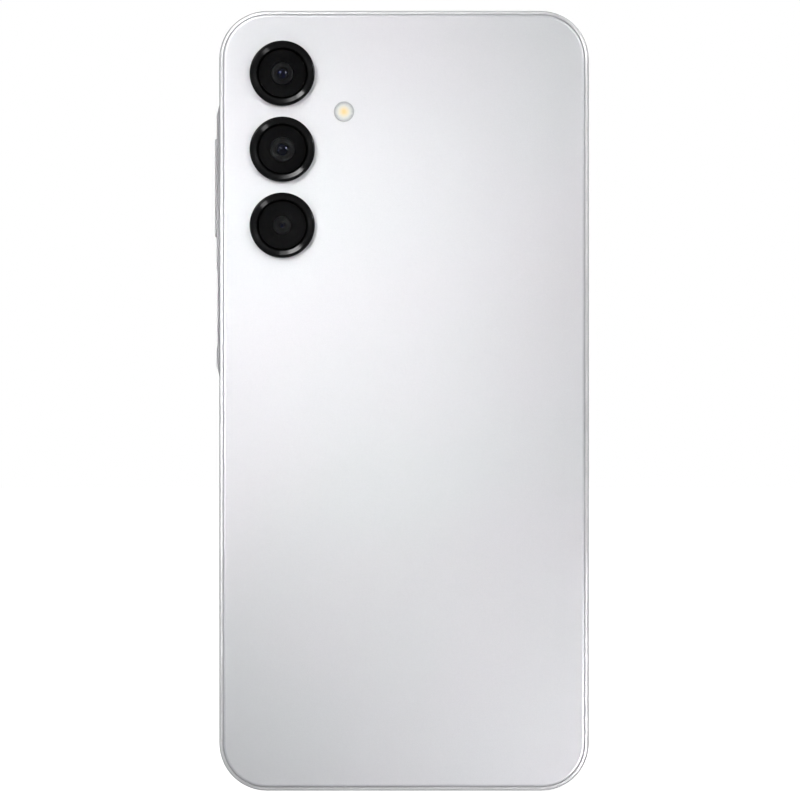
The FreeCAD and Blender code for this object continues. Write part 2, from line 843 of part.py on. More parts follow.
def flash_lens():
    """A clear plug that fills the cover's hole, with a flange behind the cover."""
    outer, inner = out("0"), out("-cover_depth")
    profile = [
        ("0", outer),
        ("flash_radius", outer),
        ("flash_radius", f"{inner} + gap"),
        ("flash_flange", f"{inner} + gap"),
        ("flash_flange", f"{inner} + gap + 0.12"),
        ("0", f"{inner} + gap + 0.12"),
    ]
    return turned("flash_lens", profile, FLASH_X, FLASH_Z)


def flash_led():
    step, base, chip = "bracket_front - 0.3", "4.0", "2.4"
    carrier = block("led_base", about(FLASH_X, base), (step, "bracket_front"), about(FLASH_Z, base))
    emitter = block("led_chip", about(FLASH_X, chip), ("bracket_back", step), about(FLASH_Z, chip))
    return fuse("flash_led", [carrier, emitter])


# ---------------------------------------------------------------- front camera and earpiece


def front_camera_module():
    square = about("0", "selfie_square")
    base = block("selfie_base", square, ("-1.0", "1.9"), about(SELFIE_Z, "selfie_square"))
    nose_y = ("1.9", f"{GLASS_INNER} - 0.1")
    nose = round_bar("selfie_nose", "y", "0", nose_y, SELFIE_Z, "selfie_nose + 0.3", "selfie_nose")
    body = fuse("selfie_body", [base, nose])
    bore = round_bar("selfie_bore", "y", "0", ("2.2", GLASS_INNER), SELFIE_Z, "selfie_aperture")
    return boolean("Cut", "front_camera_module", body, bore)


def front_camera_lens():
    disc = round_bar("selfie_disc", "y", "0", ("2.25", "2.95"), SELFIE_Z, "selfie_aperture - 0.02")
    dome = ball("selfie_dome", "0", "2.95 - 2.2", SELFIE_Z, "2.2")
    return boolean("Common", "front_camera_lens", disc, dome)


def earpiece_speaker():
    x = about("receiver_mid", "receiver_length")
    z = ("body_height - frame_wall - 0.9 - receiver_width", "body_height - frame_wall - 0.9")
    back = "plate_back - gap - receiver_depth"
    body = slab("earpiece_speaker", [rounded(x, z, "1.0")], (back, "plate_back - gap"))
    fillet(body, "0.3", flat_at("Y", back))
    return body


def earpiece_mesh():
    top = "body_height - glass_inset"
    z = (f"{top} - ear_slit_width + 0.03", f"{top} - 0.03")
    y = ("front_face - 0.6", "front_face - 0.35")
    return block("earpiece_mesh", about("0", "ear_slit_length - 0.1"), y, z)


# ---------------------------------------------------------------- side keys


def side_key(key, cap_level, sites):
    """A key: a cap through the wall, a flange that keeps it in, and nubs that press the domes."""
    body = new_body(f"{key}_key")
    cap = rounded(about("0", f"{key}_width"), about(f"{key}_mid", f"{key}_length"), f"{key}_width/2.1")
    pad(body, "YZ", [cap], (cap_level, FLANGE_X))
    fillet(body, "key_round", flat_at("X", cap_level))
    flange_z = about(f"{key}_mid", f"{key}_length + 2*flange_reach")
    flange = rounded(about("0", "flange_width"), flange_z, "0.6")
    pad(body, "YZ", [flange], (FLANGE_X, f"{FLANGE_X} + flange_depth"))
    nubs = [circle("0", z, "nub_radius") for z in sites]
    pad(body, "YZ", nubs, (f"{FLANGE_X} + flange_depth", f"{FLANGE_X} + flange_depth + nub_height"))
    return body


def volume_key():
    """The volume key rocks on a round rib at its middle, which bears on the flex and its backing strip."""
    sites = ["volume_mid - nub_spacing/2", "volume_mid + nub_spacing/2"]
    body = side_key("volume", f"{WALL} - island_rise - volume_proud", sites)
    pivot = f"{FLANGE_X} + flange_depth"
    rib = circle(pivot, "volume_mid", f"{KEY_FLEX_X} - ({pivot}) - gap")
    pad(body, "XZ", [rib], about("0", "rib_length"))
    return body


def power_key():
    """The power key has a shallow pocket in its face for the fingerprint sensor."""
    face = f"{WALL} - island_rise + dish_depth"
    body = side_key("power", face, ["power_mid"])
    width, length = "power_width - 2*sensor_inset", "power_length - 2*sensor_inset"
    seat = rounded(about("0", width), about("power_mid", length), f"({width})/2.1")
    pocket(body, "YZ", [seat], (face, f"{face} + sensor_depth"))
    return body


def fingerprint_sensor():
    face = f"{WALL} - island_rise + dish_depth"
    width, length = "power_width - 2*sensor_inset - 0.04", "power_length - 2*sensor_inset - 0.04"
    body = new_body("fingerprint_sensor")
    pad_outline = rounded(about("0", width), about("power_mid", length), f"({width})/2.1")
    pad(body, "YZ", [pad_outline], (f"{face} + 0.05", f"{face} + sensor_depth"))
    return body


def key_domes():
    """Snap domes on the key flex: one under each end of the volume key and one under the power key."""
    sites = ["volume_mid - nub_spacing/2", "volume_mid + nub_spacing/2", "power_mid"]
    span = (DOME_TOP_X, KEY_FLEX_X)
    domes = []
    for i, z in enumerate(sites):
        domes.append(round_bar(f"dome_{i}", "x", span, "0", z, "dome_crown", "dome_radius"))
    return group("key_domes", domes)


def side_key_flex():
    z = ("power_mid - power_length/2 - 1", "volume_mid + volume_length/2 + 1")
    x = (KEY_FLEX_X, f"{KEY_FLEX_X} + key_flex_depth")
    return block("side_key_flex", x, about("0", "key_flex_width"), z)


def side_key_bracket():
    """A steel strip with bent feet, which backs the key flex."""
    start = f"{KEY_FLEX_X} + key_flex_depth"
    z = ("power_mid - power_length/2 - 1.5", "volume_mid + volume_length/2 + 1.5")
    strip = block("bracket_strip", (start, f"{start} + key_plate_depth"), about("0", "2.6"), z)
    feet = []
    for i, mid in enumerate(("power_mid + power_length/2 + 3", "volume_mid + volume_length/2 + 0.2")):
        foot_x = (start, f"{start} + 1.6")
        feet.append(block(f"bracket_foot_{i}", foot_x, ("1.2", "1.45"), about(mid, "2.4")))
    return fuse("side_key_bracket", [strip, *feet])


# ---------------------------------------------------------------- card tray

TRAY_Y = about("tray_level", "tray_depth")
HEAD_INNER = "body_width/2 - head_depth"
NECK_INNER = "body_width/2 - head_depth - neck_run"
ROD_END = "body_width/2 - head_depth - neck_run - 0.2"


def sim_tray_head():
    """The tray's outer cap and neck, with the hole for the eject pin."""
    body = new_body("sim_tray_head")
    cap = rounded(about("tray_level", "head_width"), ("head_low", "head_high"), "head_width/2.1")
    pad(body, "YZ", [cap], (HEAD_INNER, "body_width/2"))
    neck = rounded(about("tray_level", "neck_width"), ("neck_low", "neck_high"), "neck_width/2.2")
    pad(body, "YZ", [neck], (NECK_INNER, HEAD_INNER))
    pin_hole = circle("tray_level", "pin_hole_mid", "pin_hole_radius")
    pocket(body, "YZ", [pin_hole], (NECK_INNER, "body_width/2"))
    return body


def sim_tray_carrier():
    """The flat carrier behind the head, with one window for each size of card."""
    z = about("tray_mid", "tray_width")
    body = slab("sim_tray_carrier", [rectangle(("tray_tail", NECK_INNER), z)], TRAY_Y)
    near_start = f"{NECK_INNER} - tray_rib - big_card_run"
    far_start = f"{near_start} - tray_rib - small_card_run"
    big = rounded((near_start, f"{near_start} + big_card_run"), about("tray_mid", "big_card"), "0.6")
    small = rounded((far_start, f"{far_start} + small_card_run"), about("tray_mid", "small_card"), "0.6")
    pocket(body, "XZ", [big, small], ("tray_level - tray_depth/2", "tray_level + tray_depth/2"))
    # thin shelves that stop the cards falling through
    shelf = ("tray_level + tray_depth/2 - 0.15", "tray_level + tray_depth/2")
    run, edge = (near_start, f"{near_start} + big_card_run"), "tray_width/2"
    low = rectangle(run, (f"tray_mid - {edge} + 0.2", f"tray_mid - {edge} + 2"))
    high = rectangle(run, (f"tray_mid + {edge} - 2", f"tray_mid + {edge} - 0.2"))
    pad(body, "XZ", [low, high], shelf)
    return body


def sim_tray_seal():
    """A rubber ring round the neck, which keeps splashes out of the slot."""
    span = (f"{HEAD_INNER} - 0.75", f"{HEAD_INNER} - gap")
    body = new_body("sim_tray_seal")
    outer_y, outer_z = about("tray_level", "head_width - 0.1"), ("head_low + gap", "head_high - gap")
    pad(body, "YZ", [rounded(outer_y, outer_z, "head_width/2.2")], span)
    inner_y, inner_z = about("tray_level", "neck_width + 0.02"), ("neck_low - 0.01", "neck_high + 0.01")
    pocket(body, "YZ", [rounded(inner_y, inner_z, "neck_width/2.2")], span)
    return body


def sim_socket():
    """The sheet metal cage on the main board that the tray slides into."""
    mouth = f"{NECK_INNER} - gap"
    z = ("tray_mid - tray_width/2 - 0.35", "pin_hole_mid + rod_width/2 + 0.3")
    body = slab("sim_socket", [rectangle(("socket_tail", mouth), z)], ("socket_back", "board_back - gap"))
    floor, roof = "board_back - gap - socket_wall", "socket_back + socket_wall"
    tray_z = ("tray_mid - tray_width/2 - 0.12", "tray_mid + tray_width/2 + 0.12")
    tray_run = rectangle(("socket_tail + socket_wall", mouth), tray_z)
    pocket(body, "XZ", [tray_run], (roof, floor))
    rod_z = about("pin_hole_mid", "rod_width + 0.2")
    rod_run = rectangle(("socket_tail + socket_wall", mouth), rod_z)
    pocket(body, "XZ", [rod_run], (roof, floor))
    lever_run = rectangle(
        ("socket_tail + socket_wall", "tray_tail - 0.1"),
        ("lever_pivot_mid - lever_half - 0.4", "pin_hole_mid + rod_width/2 + 0.1"),
    )
    pocket(body, "XZ", [lever_run], (roof, floor))
    pocket(body, "XZ", [circle(LEVER_X, "lever_pivot_mid", "lever_pin + 0.03")], ("socket_back", roof))
    return body


LEVER_FACE = "tray_tail - 1.45"
LEVER_X = "tray_tail - 1.45 - lever_thickness/2"


def sim_eject_rod():
    """Pushed in by the pin, its round nose turns the lever."""
    x = (f"{LEVER_FACE} + gap + rod_nose", ROD_END)
    bar = block("rod_bar", x, about("tray_level", "rod_depth"), about("pin_hole_mid", "rod_width"))
    y = about("tray_level", "rod_depth")
    nose = round_bar("rod_tip", "y", f"{LEVER_FACE} + gap + rod_nose", y, "pin_hole_mid", "rod_nose")
    return fuse("sim_eject_rod", [bar, nose])


def sim_eject_lever():
    """Turns on a pin in the socket's roof, with its other end behind the tray's tail."""
    x = about(LEVER_X, "lever_thickness")
    arm = block("lever_arm", x, about("tray_level", "rod_depth"), about("lever_pivot_mid", "2*lever_half"))
    axle_y = ("socket_back", "tray_level")
    pin = round_bar("lever_axle", "y", LEVER_X, axle_y, "lever_pivot_mid", "lever_pin")
    return fuse("sim_eject_lever", [arm, pin])


# ---------------------------------------------------------------- boards and power


def post_holes(sites):
    return [circle(x, z, "post_radius + post_clearance") for x, z in sites]


def main_board():
    right, top = "body_width/2 - board_inset", "body_height - board_inset - 0.2"
    step = "receiver_mid + receiver_length/2 + 0.6"
    outline = [
        ("main_board_left", "main_board_low"),
        (right, "main_board_low"),
        (right, f"{top} - bracket_chamfer"),
        (f"{right} - bracket_chamfer", top),
        (step, top),
        (step, "main_board_step"),
        ("main_board_left", "main_board_step"),
    ]
    body = slab("main_board", [polygon(outline)], ("board_back", "board_front"))
    pocket(body, "XZ", post_holes(UPPER_SCREWS[2:]), ("board_back", "board_front"))
    return body


# The larger packages, as (x, z, width, height, thickness): processor, memory, power, radio and sound on the
# main board, charging on the lower board, and a microphone by the hole in each end wall.
CHIPS = [
    (-1.5, 145.4, 11.5, 11.5, 1.0),
    (-1.5, 124.5, 9.0, 7.0, 0.9),
    (6.2, 118.3, 5.2, 4.2, 0.7),
    (-6.0, 117.6, 4.0, 3.4, 0.6),
    (5.8, 128.6, 3.6, 3.6, 0.6),
    (24.5, 150.2, 5.0, 5.0, 0.8),
    (30.5, 151.0, 2.6, 3.2, 0.6),
    (16.0, 15.0, 4.4, 4.4, 0.8),
    ("bottom_mic", 4.3, 3.5, 2.65, 1.0),
    ("top_mic", 159.9, 3.5, 2.65, 1.0),
]


def circuit_chips():
    chips = []
    for i, (x, z, wide, high, tall) in enumerate(CHIPS):
        depth = (f"board_back - {tall}", "board_back")
        chips.append(block(f"chip_{i}", about(x, wide), depth, about(z, high)))
    return group("circuit_chips", chips)


def shield_cans():
    """Two steel lids over the processor and the radio sections."""
    cans, left, right, roof = [], "shield_left", "shield_right", "board_back - shield_height"
    for i, (low, high) in enumerate(((137.6, 153.0), (114.2, 133.6))):
        can = slab(f"can_{i}", [rounded((left, right), (low, high), "0.5")], (roof, "board_back"))
        inner_x = (f"{left} + shield_wall", f"{right} - shield_wall")
        inner_z = (f"{low} + shield_wall", f"{high} - shield_wall")
        pocket(can, "XZ", [rectangle(inner_x, inner_z)], (f"{roof} + shield_wall", "board_back"))
        cans.append(can)
    return group("shield_cans", cans)


# Board-to-board sockets, as (x, z, width, height): the battery's, both ends of the main lead, the display's.
SOCKETS = [
    (20.5, 115.4, 6.0, 2.4),
    ("main_flex_mid", 115.0, 2.8, 3.6),
    ("main_flex_mid", 19.0, 2.8, 3.0),
    ("display_lead_mid", 19.0, 7.5, 2.4),
]


def board_connectors():
    """The sockets above, and one beside each rear camera."""
    cameras = [(-12.2, z, 3.0, 3.0) for z in CAMERAS.values()]
    depth, made = ("board_back - connector_height", "board_back"), []
    for i, (x, z, wide, high) in enumerate(SOCKETS + cameras):
        made.append(block(f"socket_{i}", about(x, wide), depth, about(z, high)))
    return group("board_connectors", made)


def end_outline(left, right, low, high, cut):
    """A plate that fills the cavity's top end, with both of its top corners cut off."""
    return polygon(
        [
            (left, low),
            (right, low),
            (right, f"{high} - {cut}"),
            (f"{right} - {cut}", high),
            (f"{left} + {cut}", high),
            (left, f"{high} - {cut}"),
        ]
    )


def screw_seats(body, sites):
    """A clearance hole and a counterbore for the head of each screw."""
    holes = [circle(x, z, "screw_radius + 0.1") for x, z in sites]
    pocket(body, "XZ", holes, ("bracket_back", "bracket_front"))
    heads = [circle(x, z, "screw_head + 0.12") for x, z in sites]
    pocket(body, "XZ", heads, ("bracket_back", "bracket_back + screw_head_depth"))


def upper_bracket():
    """The inner cover that clamps the cameras and the main board and carries the contact coil."""
    right, high = "body_width/2 - board_inset", "body_height - board_inset"
    outline = end_outline(f"-({right})", right, "main_board_low", high, "bracket_chamfer")
    body = slab("upper_bracket", [outline], ("bracket_back", "bracket_front"))
    windows = [rectangle(about(FLASH_X, "4.4"), about(FLASH_Z, "4.4"))]
    for kind, place in MODULES.items():
        hole = f"{kind}_square + 0.5"
        windows.append(rounded(about(CAMERA_X, hole), about(CAMERAS[place], hole), "0.8"))
    pocket(body, "XZ", windows, ("bracket_back", "bracket_front"))
    screw_seats(body, UPPER_SCREWS)
    return body


def contact_coil():
    """Three turns of the short-range radio coil on the upper bracket."""
    turns = []
    for i in range(3):
        grow = 1.1 * i
        span = ("bracket_back - 0.08", "bracket_back - 0.01")
        outer = rounded(about("8.5", 24 + 2 * grow), about("133.5", 28 + 2 * grow), 2 + grow)
        inner = rounded(about("8.5", 23 + 2 * grow), about("133.5", 27 + 2 * grow), 1.5 + grow)
        turn = slab(f"coil_turn_{i}", [outer], span)
        pocket(turn, "XZ", [inner], span)
        turns.append(turn)
    return group("contact_coil", turns)


def battery():
    x, z = ("cell_left", "cell_right"), ("cell_low", "cell_high")
    body = slab("battery", [rounded(x, z, "cell_corner")], ("bracket_back", "cell_front"))
    fillet(body, "cell_edge", lambda box: near(box.YMin, "bracket_back") and near(box.YMax, "bracket_back"))
    return body


def battery_guard():
    """The protection board on the cell's top terrace, with its lead to the main board."""
    z = ("cell_high + 0.2", "cell_high + cell_terrace")
    board = block("guard_board", ("-8", "24"), ("guard_front - 0.8", "guard_front"), z)
    lead_y = ("guard_front", FLEX_LEVEL[1])
    lead = block("guard_lead", about("20.5", "4"), lead_y, ("cell_high + 1", "116.5"))
    return fuse("battery_guard", [board, lead])


def battery_tapes():
    """Two stretch-release strips that hold the cell to the mid plate."""
    span, z = ("cell_front + 0.01", "plate_back - 0.01"), ("cell_low - 1.5", "cell_high - 6")
    strips = [block(f"strip_{i}", about(x, "12"), span, z) for i, x in enumerate((-18, 12))]
    return group("battery_tapes", strips)


def main_flex():
    return block("main_flex", about("main_flex_mid", "main_flex_width"), FLEX_LEVEL, ("17.6", "116.8"))


def sub_board():
    right, low = "body_width/2 - board_inset", "board_inset"
    bay = "usb_front + usb_length + 0.35"
    outline = [
        ("sub_board_left", "sub_board_top"),
        ("sub_board_left", low),
        ("-usb_width/2 - 0.4", low),
        ("-usb_width/2 - 0.4", bay),
        ("usb_width/2 + 0.4", bay),
        ("usb_width/2 + 0.4", low),
        (f"{right} - bracket_chamfer", low),
        (right, f"{low} + bracket_chamfer"),
        (right, "sub_board_top"),
    ]
    body = slab("sub_board", [polygon(outline)], ("board_back", "board_front"))
    pocket(body, "XZ", post_holes(LOWER_SCREWS), ("board_back", "board_front"))
    return body


def lower_bracket():
    right, left = "body_width/2 - board_inset", "sub_board_left"
    outline = polygon(
        [
            (left, "board_inset"),
            (f"{right} - bracket_chamfer", "board_inset"),
            (right, "board_inset + bracket_chamfer"),
            (right, "sub_board_top"),
            (left, "sub_board_top"),
        ]
    )
    body = slab("lower_bracket", [outline], ("bracket_back", "bracket_front"))
    screw_seats(body, LOWER_SCREWS)
    return body


def antenna_cable():
    """A coaxial lead that goes out to the right wall, down its lane and back in to the lower board."""
    start, lane, bend = "plug_x + plug_radius", "cable_lane", "cable_bend"
    high, low = "cable_high", "cable_low"
    body = new_body("antenna_cable")
    turn = f"{lane} - {bend}"
    path = sketch_on(body, "XZ", "cable_level", [])
    corners = [(start, high), (turn, high), (lane, f"{high} - {bend}")]
    corners += [(lane, f"{low} + {bend}"), (turn, low), (start, low)]
    p = [Vector(mm(u), mm(v)) for u, v in corners]
    path.addGeometry(Part.LineSegment(p[0], p[1]))
    path.addGeometry(quarter_arc((p[1].x, p[2].y), mm(bend), 0))
    path.addGeometry(Part.LineSegment(p[2], p[3]))
    path.addGeometry(quarter_arc((p[4].x, p[3].y), mm(bend), 3))
    path.addGeometry(Part.LineSegment(p[4], p[5]))
    for first, second in (((0, 2), (1, 2)), ((1, 1), (2, 1)), ((2, 2), (3, 2)), ((3, 1), (4, 1))):
        path.addConstraint(Sketcher.Constraint("Tangent", *first, *second))
    path.addConstraint(Sketcher.Constraint("Horizontal", 0))
    path.addConstraint(Sketcher.Constraint("Vertical", 2))
    path.addConstraint(Sketcher.Constraint("Horizontal", 4))
    size(path, "Radius", (1,), bend)
    size(path, "Radius", (3,), bend)
    for kind, elements, text in (
        ("DistanceX", (-1, 1, 0, 1), start),
        ("DistanceY", (-1, 1, 0, 1), high),
        ("DistanceX", (-1, 1, 2, 1), lane),
        ("DistanceX", (-1, 1, 4, 2), start),
        ("DistanceY", (-1, 1, 4, 2), low),
    ):
        size(path, kind, elements, text)
    section = sketch_on(body, "YZ", start, [circle("cable_level", high, "cable_radius")])
    pipe = body.newObject("PartDesign::AdditivePipe", "cable_pipe")
    pipe.Profile = section
    pipe.Spine = (path, [])
    doc.recompute()
    return body


def cable_plugs():
    """The snap-on coaxial plugs at both ends of the antenna cable."""
    y, plugs = ("cable_level - 0.5", "board_back"), []
    for i, z in enumerate(("cable_high", "cable_low")):
        plugs.append(round_bar(f"plug_{i}", "y", "plug_x", y, z, "plug_radius"))
    return group("cable_plugs", plugs)


# ---------------------------------------------------------------- bottom end


def usb_shell():
    body = new_body("usb_shell")
    span = ("usb_front", "usb_front + usb_length")
    outer_x, outer_y = about("0", "usb_width"), about("usb_level", "usb_height")
    pad(body, "XY", [rounded(outer_x, outer_y, "usb_height/2.05")], span)
    inner_x, inner_y = about("0", "usb_width - 2*usb_wall"), about("usb_level", "usb_height - 2*usb_wall")
    pocket(body, "XY", [rounded(inner_x, inner_y, "usb_height/2.05 - usb_wall")], span)
    # four solder tabs that stand on the lower board beside its bay
    tab = ("board_back - 0.22", "board_back")
    tabs = [rectangle(span_x, tab) for span_x in ((-6.0, -4.3), (4.3, 6.0))]
    for low in ("2.9", "5.6"):
        pad(body, "XY", tabs, (low, f"{low} + 1.3"))
    return body


def usb_tongue():
    """The contact tongue and the moulded root that closes the shell's rear."""
    body = new_body("usb_tongue")
    root_x = about("0", "usb_width - 2*usb_wall - 0.04")
    root_y = about("usb_level", "usb_height - 2*usb_wall - 0.04")
    span = ("usb_front + tongue_root", "usb_front + usb_length")
    pad(body, "XY", [rounded(root_x, root_y, "usb_height/2.05 - usb_wall - 0.02")], span)
    tongue = rectangle(about("0", "tongue_width"), about("usb_level", "tongue_depth"))
    pad(body, "XY", [tongue], ("tongue_front", "usb_front + tongue_root"))
    tails = rectangle(about("0", "6.2"), ("board_back - 0.2", "board_back"))
    pad(body, "XY", [tails], ("usb_front + usb_length", "usb_front + usb_length + 1.6"))
    return body


def speaker_enclosure():
    """The loudspeaker's tub, closed by the driver and the mid plate, with screw ears at its top."""
    cut = "bracket_chamfer"
    outline = polygon(
        [
            (f"box_left + {cut}", "board_inset"),
            ("box_right", "board_inset"),
            ("box_right", "box_top"),
            ("box_left", "box_top"),
            ("box_left", f"board_inset + {cut}"),
        ]
    )
    body = slab("speaker_enclosure", [outline], ("bracket_back", "board_front"))
    ear_z = ("box_top - 1", "box_ear_top")
    ears = [rectangle(x, ear_z) for x in (("box_left", "box_left + 6"), ("box_right - 5.4", "box_right"))]
    pad(body, "XZ", ears, ("bracket_back", "bracket_front"))
    hollow = polygon(
        [
            (f"box_left + {cut} + box_wall/2", "board_inset + box_wall"),
            ("box_right - box_wall", "board_inset + box_wall"),
            ("box_right - box_wall", "box_top - box_wall"),
            ("box_left + box_wall", "box_top - box_wall"),
            ("box_left + box_wall", f"board_inset + {cut} + box_wall/2"),
        ]
    )
    pocket(body, "XZ", [hollow], ("bracket_back + box_wall", "board_front"))
    grille_mid = "grille_first - grille_pitch*(grille_count - 1)/2"
    mouth = rectangle(about(grille_mid, "grille_pitch*grille_count"), about("0", "1.8"))
    pocket(body, "XY", [mouth], ("board_inset - 0.1", "board_inset + box_wall + 0.1"))
    screw_seats(body, SPEAKER_SCREWS)
    return body


def speaker_driver():
    """A frame and magnet block with a domed diaphragm that faces the mid plate."""
    x, z = about("-21.5", "driver_width"), about("11.8", "driver_height")
    body = slab("speaker_driver", [rounded(x, z, "1.5")], ("bracket_back + box_wall", "driver_front"))
    rim = rounded(about("-21.5", "driver_width - 1.6"), about("11.8", "driver_height - 1.6"), "1.2")
    pocket(body, "XZ", [rim], ("driver_front - 0.4", "driver_front"))
    dome = rounded(about("-21.5", "driver_width - 6"), about("11.8", "driver_height - 5"), "2.0")
    pad(body, "XZ", [dome], ("driver_front - 0.4", "driver_front - 0.1"))
    fillet(body, "0.25", flat_at("Y", "driver_front - 0.1"))
    return body


def speaker_mesh():
    grille_mid = "grille_first - grille_pitch*(grille_count - 1)/2"
    x = about(grille_mid, "grille_pitch*grille_count + 0.6")
    return block("speaker_mesh", x, about("0", "2.2"), ("frame_wall + gap", "frame_wall + 0.25"))


def vibration_motor_case():
    """A coin motor's can, closed behind by its cap, with the shaft fixed at its centre."""
    back, front, skin = "board_back - motor_depth", "board_back", "0.2"
    profile = [
        ("0", front),
        ("motor_radius", front),
        ("motor_radius", back),
        ("0", back),
        ("0", f"{back} + {skin}"),
        (f"motor_radius - {skin}", f"{back} + {skin}"),
        (f"motor_radius - {skin}", f"{front} - 0.35"),
        ("motor_shaft", f"{front} - 0.35"),
        ("motor_shaft", f"{back} + {skin} + 0.25"),
        ("0", f"{back} + {skin} + 0.25"),
    ]
    return turned("vibration_motor_case", profile, "motor_x", "motor_z")


def vibration_motor_rotor():
    """An off-centre half disc of heavy metal on a bushed hub. At rest it hangs down."""
    span = ("board_back - motor_depth + 0.6", "board_back - 0.55")
    body = slab("vibration_motor_rotor", [circle("motor_x", "motor_z", "motor_radius - 0.45")], span)
    upper = rectangle(about("motor_x", "2*motor_radius"), ("motor_z", "motor_z + motor_radius"))
    pocket(body, "XZ", [upper], span)
    pad(body, "XZ", [circle("motor_x", "motor_z", "motor_shaft + 0.7")], span)
    pocket(body, "XZ", [circle("motor_x", "motor_z", "motor_shaft + 0.04")], span)
    return body


def screws():
    """Pan-head machine screws with a cross recess, all alike."""
    head_out, seat = "bracket_back", "bracket_back + screw_head_depth"
    profile = [
        ("0", head_out),
        ("screw_head", head_out),
        ("screw_head", seat),
        ("screw_radius", seat),
        ("screw_radius", f"{seat} + screw_length"),
        ("0", f"{seat} + screw_length"),
    ]
    made = []
    for i, (x, z) in enumerate(UPPER_SCREWS + LOWER_SCREWS + SPEAKER_SCREWS):
        body = turned(f"screw_{i}", profile, x, z)
        for wide, high in (("1.5", "0.3"), ("0.3", "1.5")):
            cross = rectangle(about("0", wide), about("0", high))
            pocket(body, "XZ", [cross], (head_out, f"{head_out} + 0.22"))
        made.append(body)
    return group("screws", made)


# ---------------------------------------------------------------- assembly and export


def build():
    node(side_frame(), "side_frame")
    node(mid_plate(), "mid_plate")
    node(rear_cover(), "rear_cover")
    cover_tape = (COVER_INNER, f"{COVER_INNER} + tape_depth")
    node(frame_tape("cover_tape", "(cover_inset + 0.1)", cover_tape), "rear_cover_adhesive")
    node(display_glass(), "display_glass")
    glass_tape = (f"{GLASS_INNER} - tape_depth", GLASS_INNER)
    node(glass_adhesive(glass_tape), "display_adhesive")
    node(display_panel(), "display_panel")
    node(display_foil(), "display_foil")
    node(display_flex(), "display_flex")
    rings = [camera_ring(f"ring_{place}", z) for place, z in CAMERAS.items()]
    node(group("camera_rings", rings), "camera_rings")
    glasses = [camera_glass(f"glass_{place}", z) for place, z in CAMERAS.items()]
    node(group("camera_glasses", glasses), "camera_glasses")
    node(camera_gaskets(), "camera_gaskets")
    node(main_camera_housing(), "main_camera_housing")
    node(main_camera_barrel(), "main_camera_barrel")
    node(main_camera_sensor(), "main_camera_sensor")
    for kind in ("wide", "macro"):
        node(fixed_camera(kind), f"{kind}_camera_module")
    node(rear_lens("main"), "main_camera_lens")
    node(group("fixed_lenses", [rear_lens("wide"), rear_lens("macro")]), "fixed_camera_lenses")
    node(camera_flexes(), "camera_flexes")
    node(flash_lens(), "flash_lens")
    node(flash_led(), "flash_led")
    node(front_camera_module(), "front_camera_module")
    node(front_camera_lens(), "front_camera_lens")
    node(earpiece_speaker(), "earpiece_speaker")
    node(earpiece_mesh(), "earpiece_mesh")
    node(volume_key(), "volume_key")
    node(power_key(), "power_key")
    node(fingerprint_sensor(), "fingerprint_sensor")
    node(key_domes(), "key_domes")
    node(side_key_flex(), "side_key_flex")
    node(side_key_bracket(), "side_key_bracket")
    node(sim_tray_head(), "sim_tray_head")
    node(sim_tray_carrier(), "sim_tray_carrier")
    node(sim_tray_seal(), "sim_tray_seal")
    node(sim_socket(), "sim_socket")
    node(sim_eject_rod(), "sim_eject_rod")
    node(sim_eject_lever(), "sim_eject_lever")
    node(main_board(), "main_board")
    node(circuit_chips(), "circuit_chips")
    node(shield_cans(), "shield_cans")
    node(board_connectors(), "board_connectors")
    node(upper_bracket(), "upper_bracket")
    node(contact_coil(), "contact_coil")
    node(battery(), "battery")
    node(battery_guard(), "battery_guard")
    node(battery_tapes(), "battery_tapes")
    node(main_flex(), "main_flex")
    node(sub_board(), "sub_board")
    node(lower_bracket(), "lower_bracket")
    node(antenna_cable(), "antenna_cable")
    node(cable_plugs(), "cable_plugs")
    node(usb_shell(), "usb_shell")
    node(usb_tongue(), "usb_tongue")
    node(speaker_enclosure(), "speaker_enclosure")
    node(speaker_driver(), "speaker_driver")
    node(speaker_mesh(), "speaker_mesh")
    node(vibration_motor_case(), "vibration_motor_case")
    node(vibration_motor_rotor(), "vibration_motor_rotor")
    node(screws(), "screws")


def glass_adhesive(span):
    """The display's tape, open where the earpiece's sound channel crosses it."""
    body = frame_tape("glass_tape", "(glass_inset + 0.1)", span)
    crossing_z = ("body_height - frame_wall - 0.6", "body_height - glass_inset")
    crossing = rectangle(about("0", "ear_slit_length + 0.4"), crossing_z)
    pocket(body, "XZ", [crossing], span)
    return body


def check():
    doc.recompute()
    faults = [o.Name for o in doc.Objects if {"Invalid", "Error"} & set(o.State)]
    faults += [n.Label for n in nodes if n.Shape.isNull() or not n.Shape.isValid() or not n.Shape.Solids]
    if faults:
        raise RuntimeError(f"these did not build: {faults}")


def export():
    os.makedirs("parts", exist_ok=True)
    for feature in nodes:
        feature.Shape.exportStep(f"parts/{feature.Label}.step")


fill_sheet()
build()
check()
export()
print(len(nodes), "sub-parts")
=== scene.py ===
import json
import math

import bmesh
import bpy
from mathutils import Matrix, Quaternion, Vector


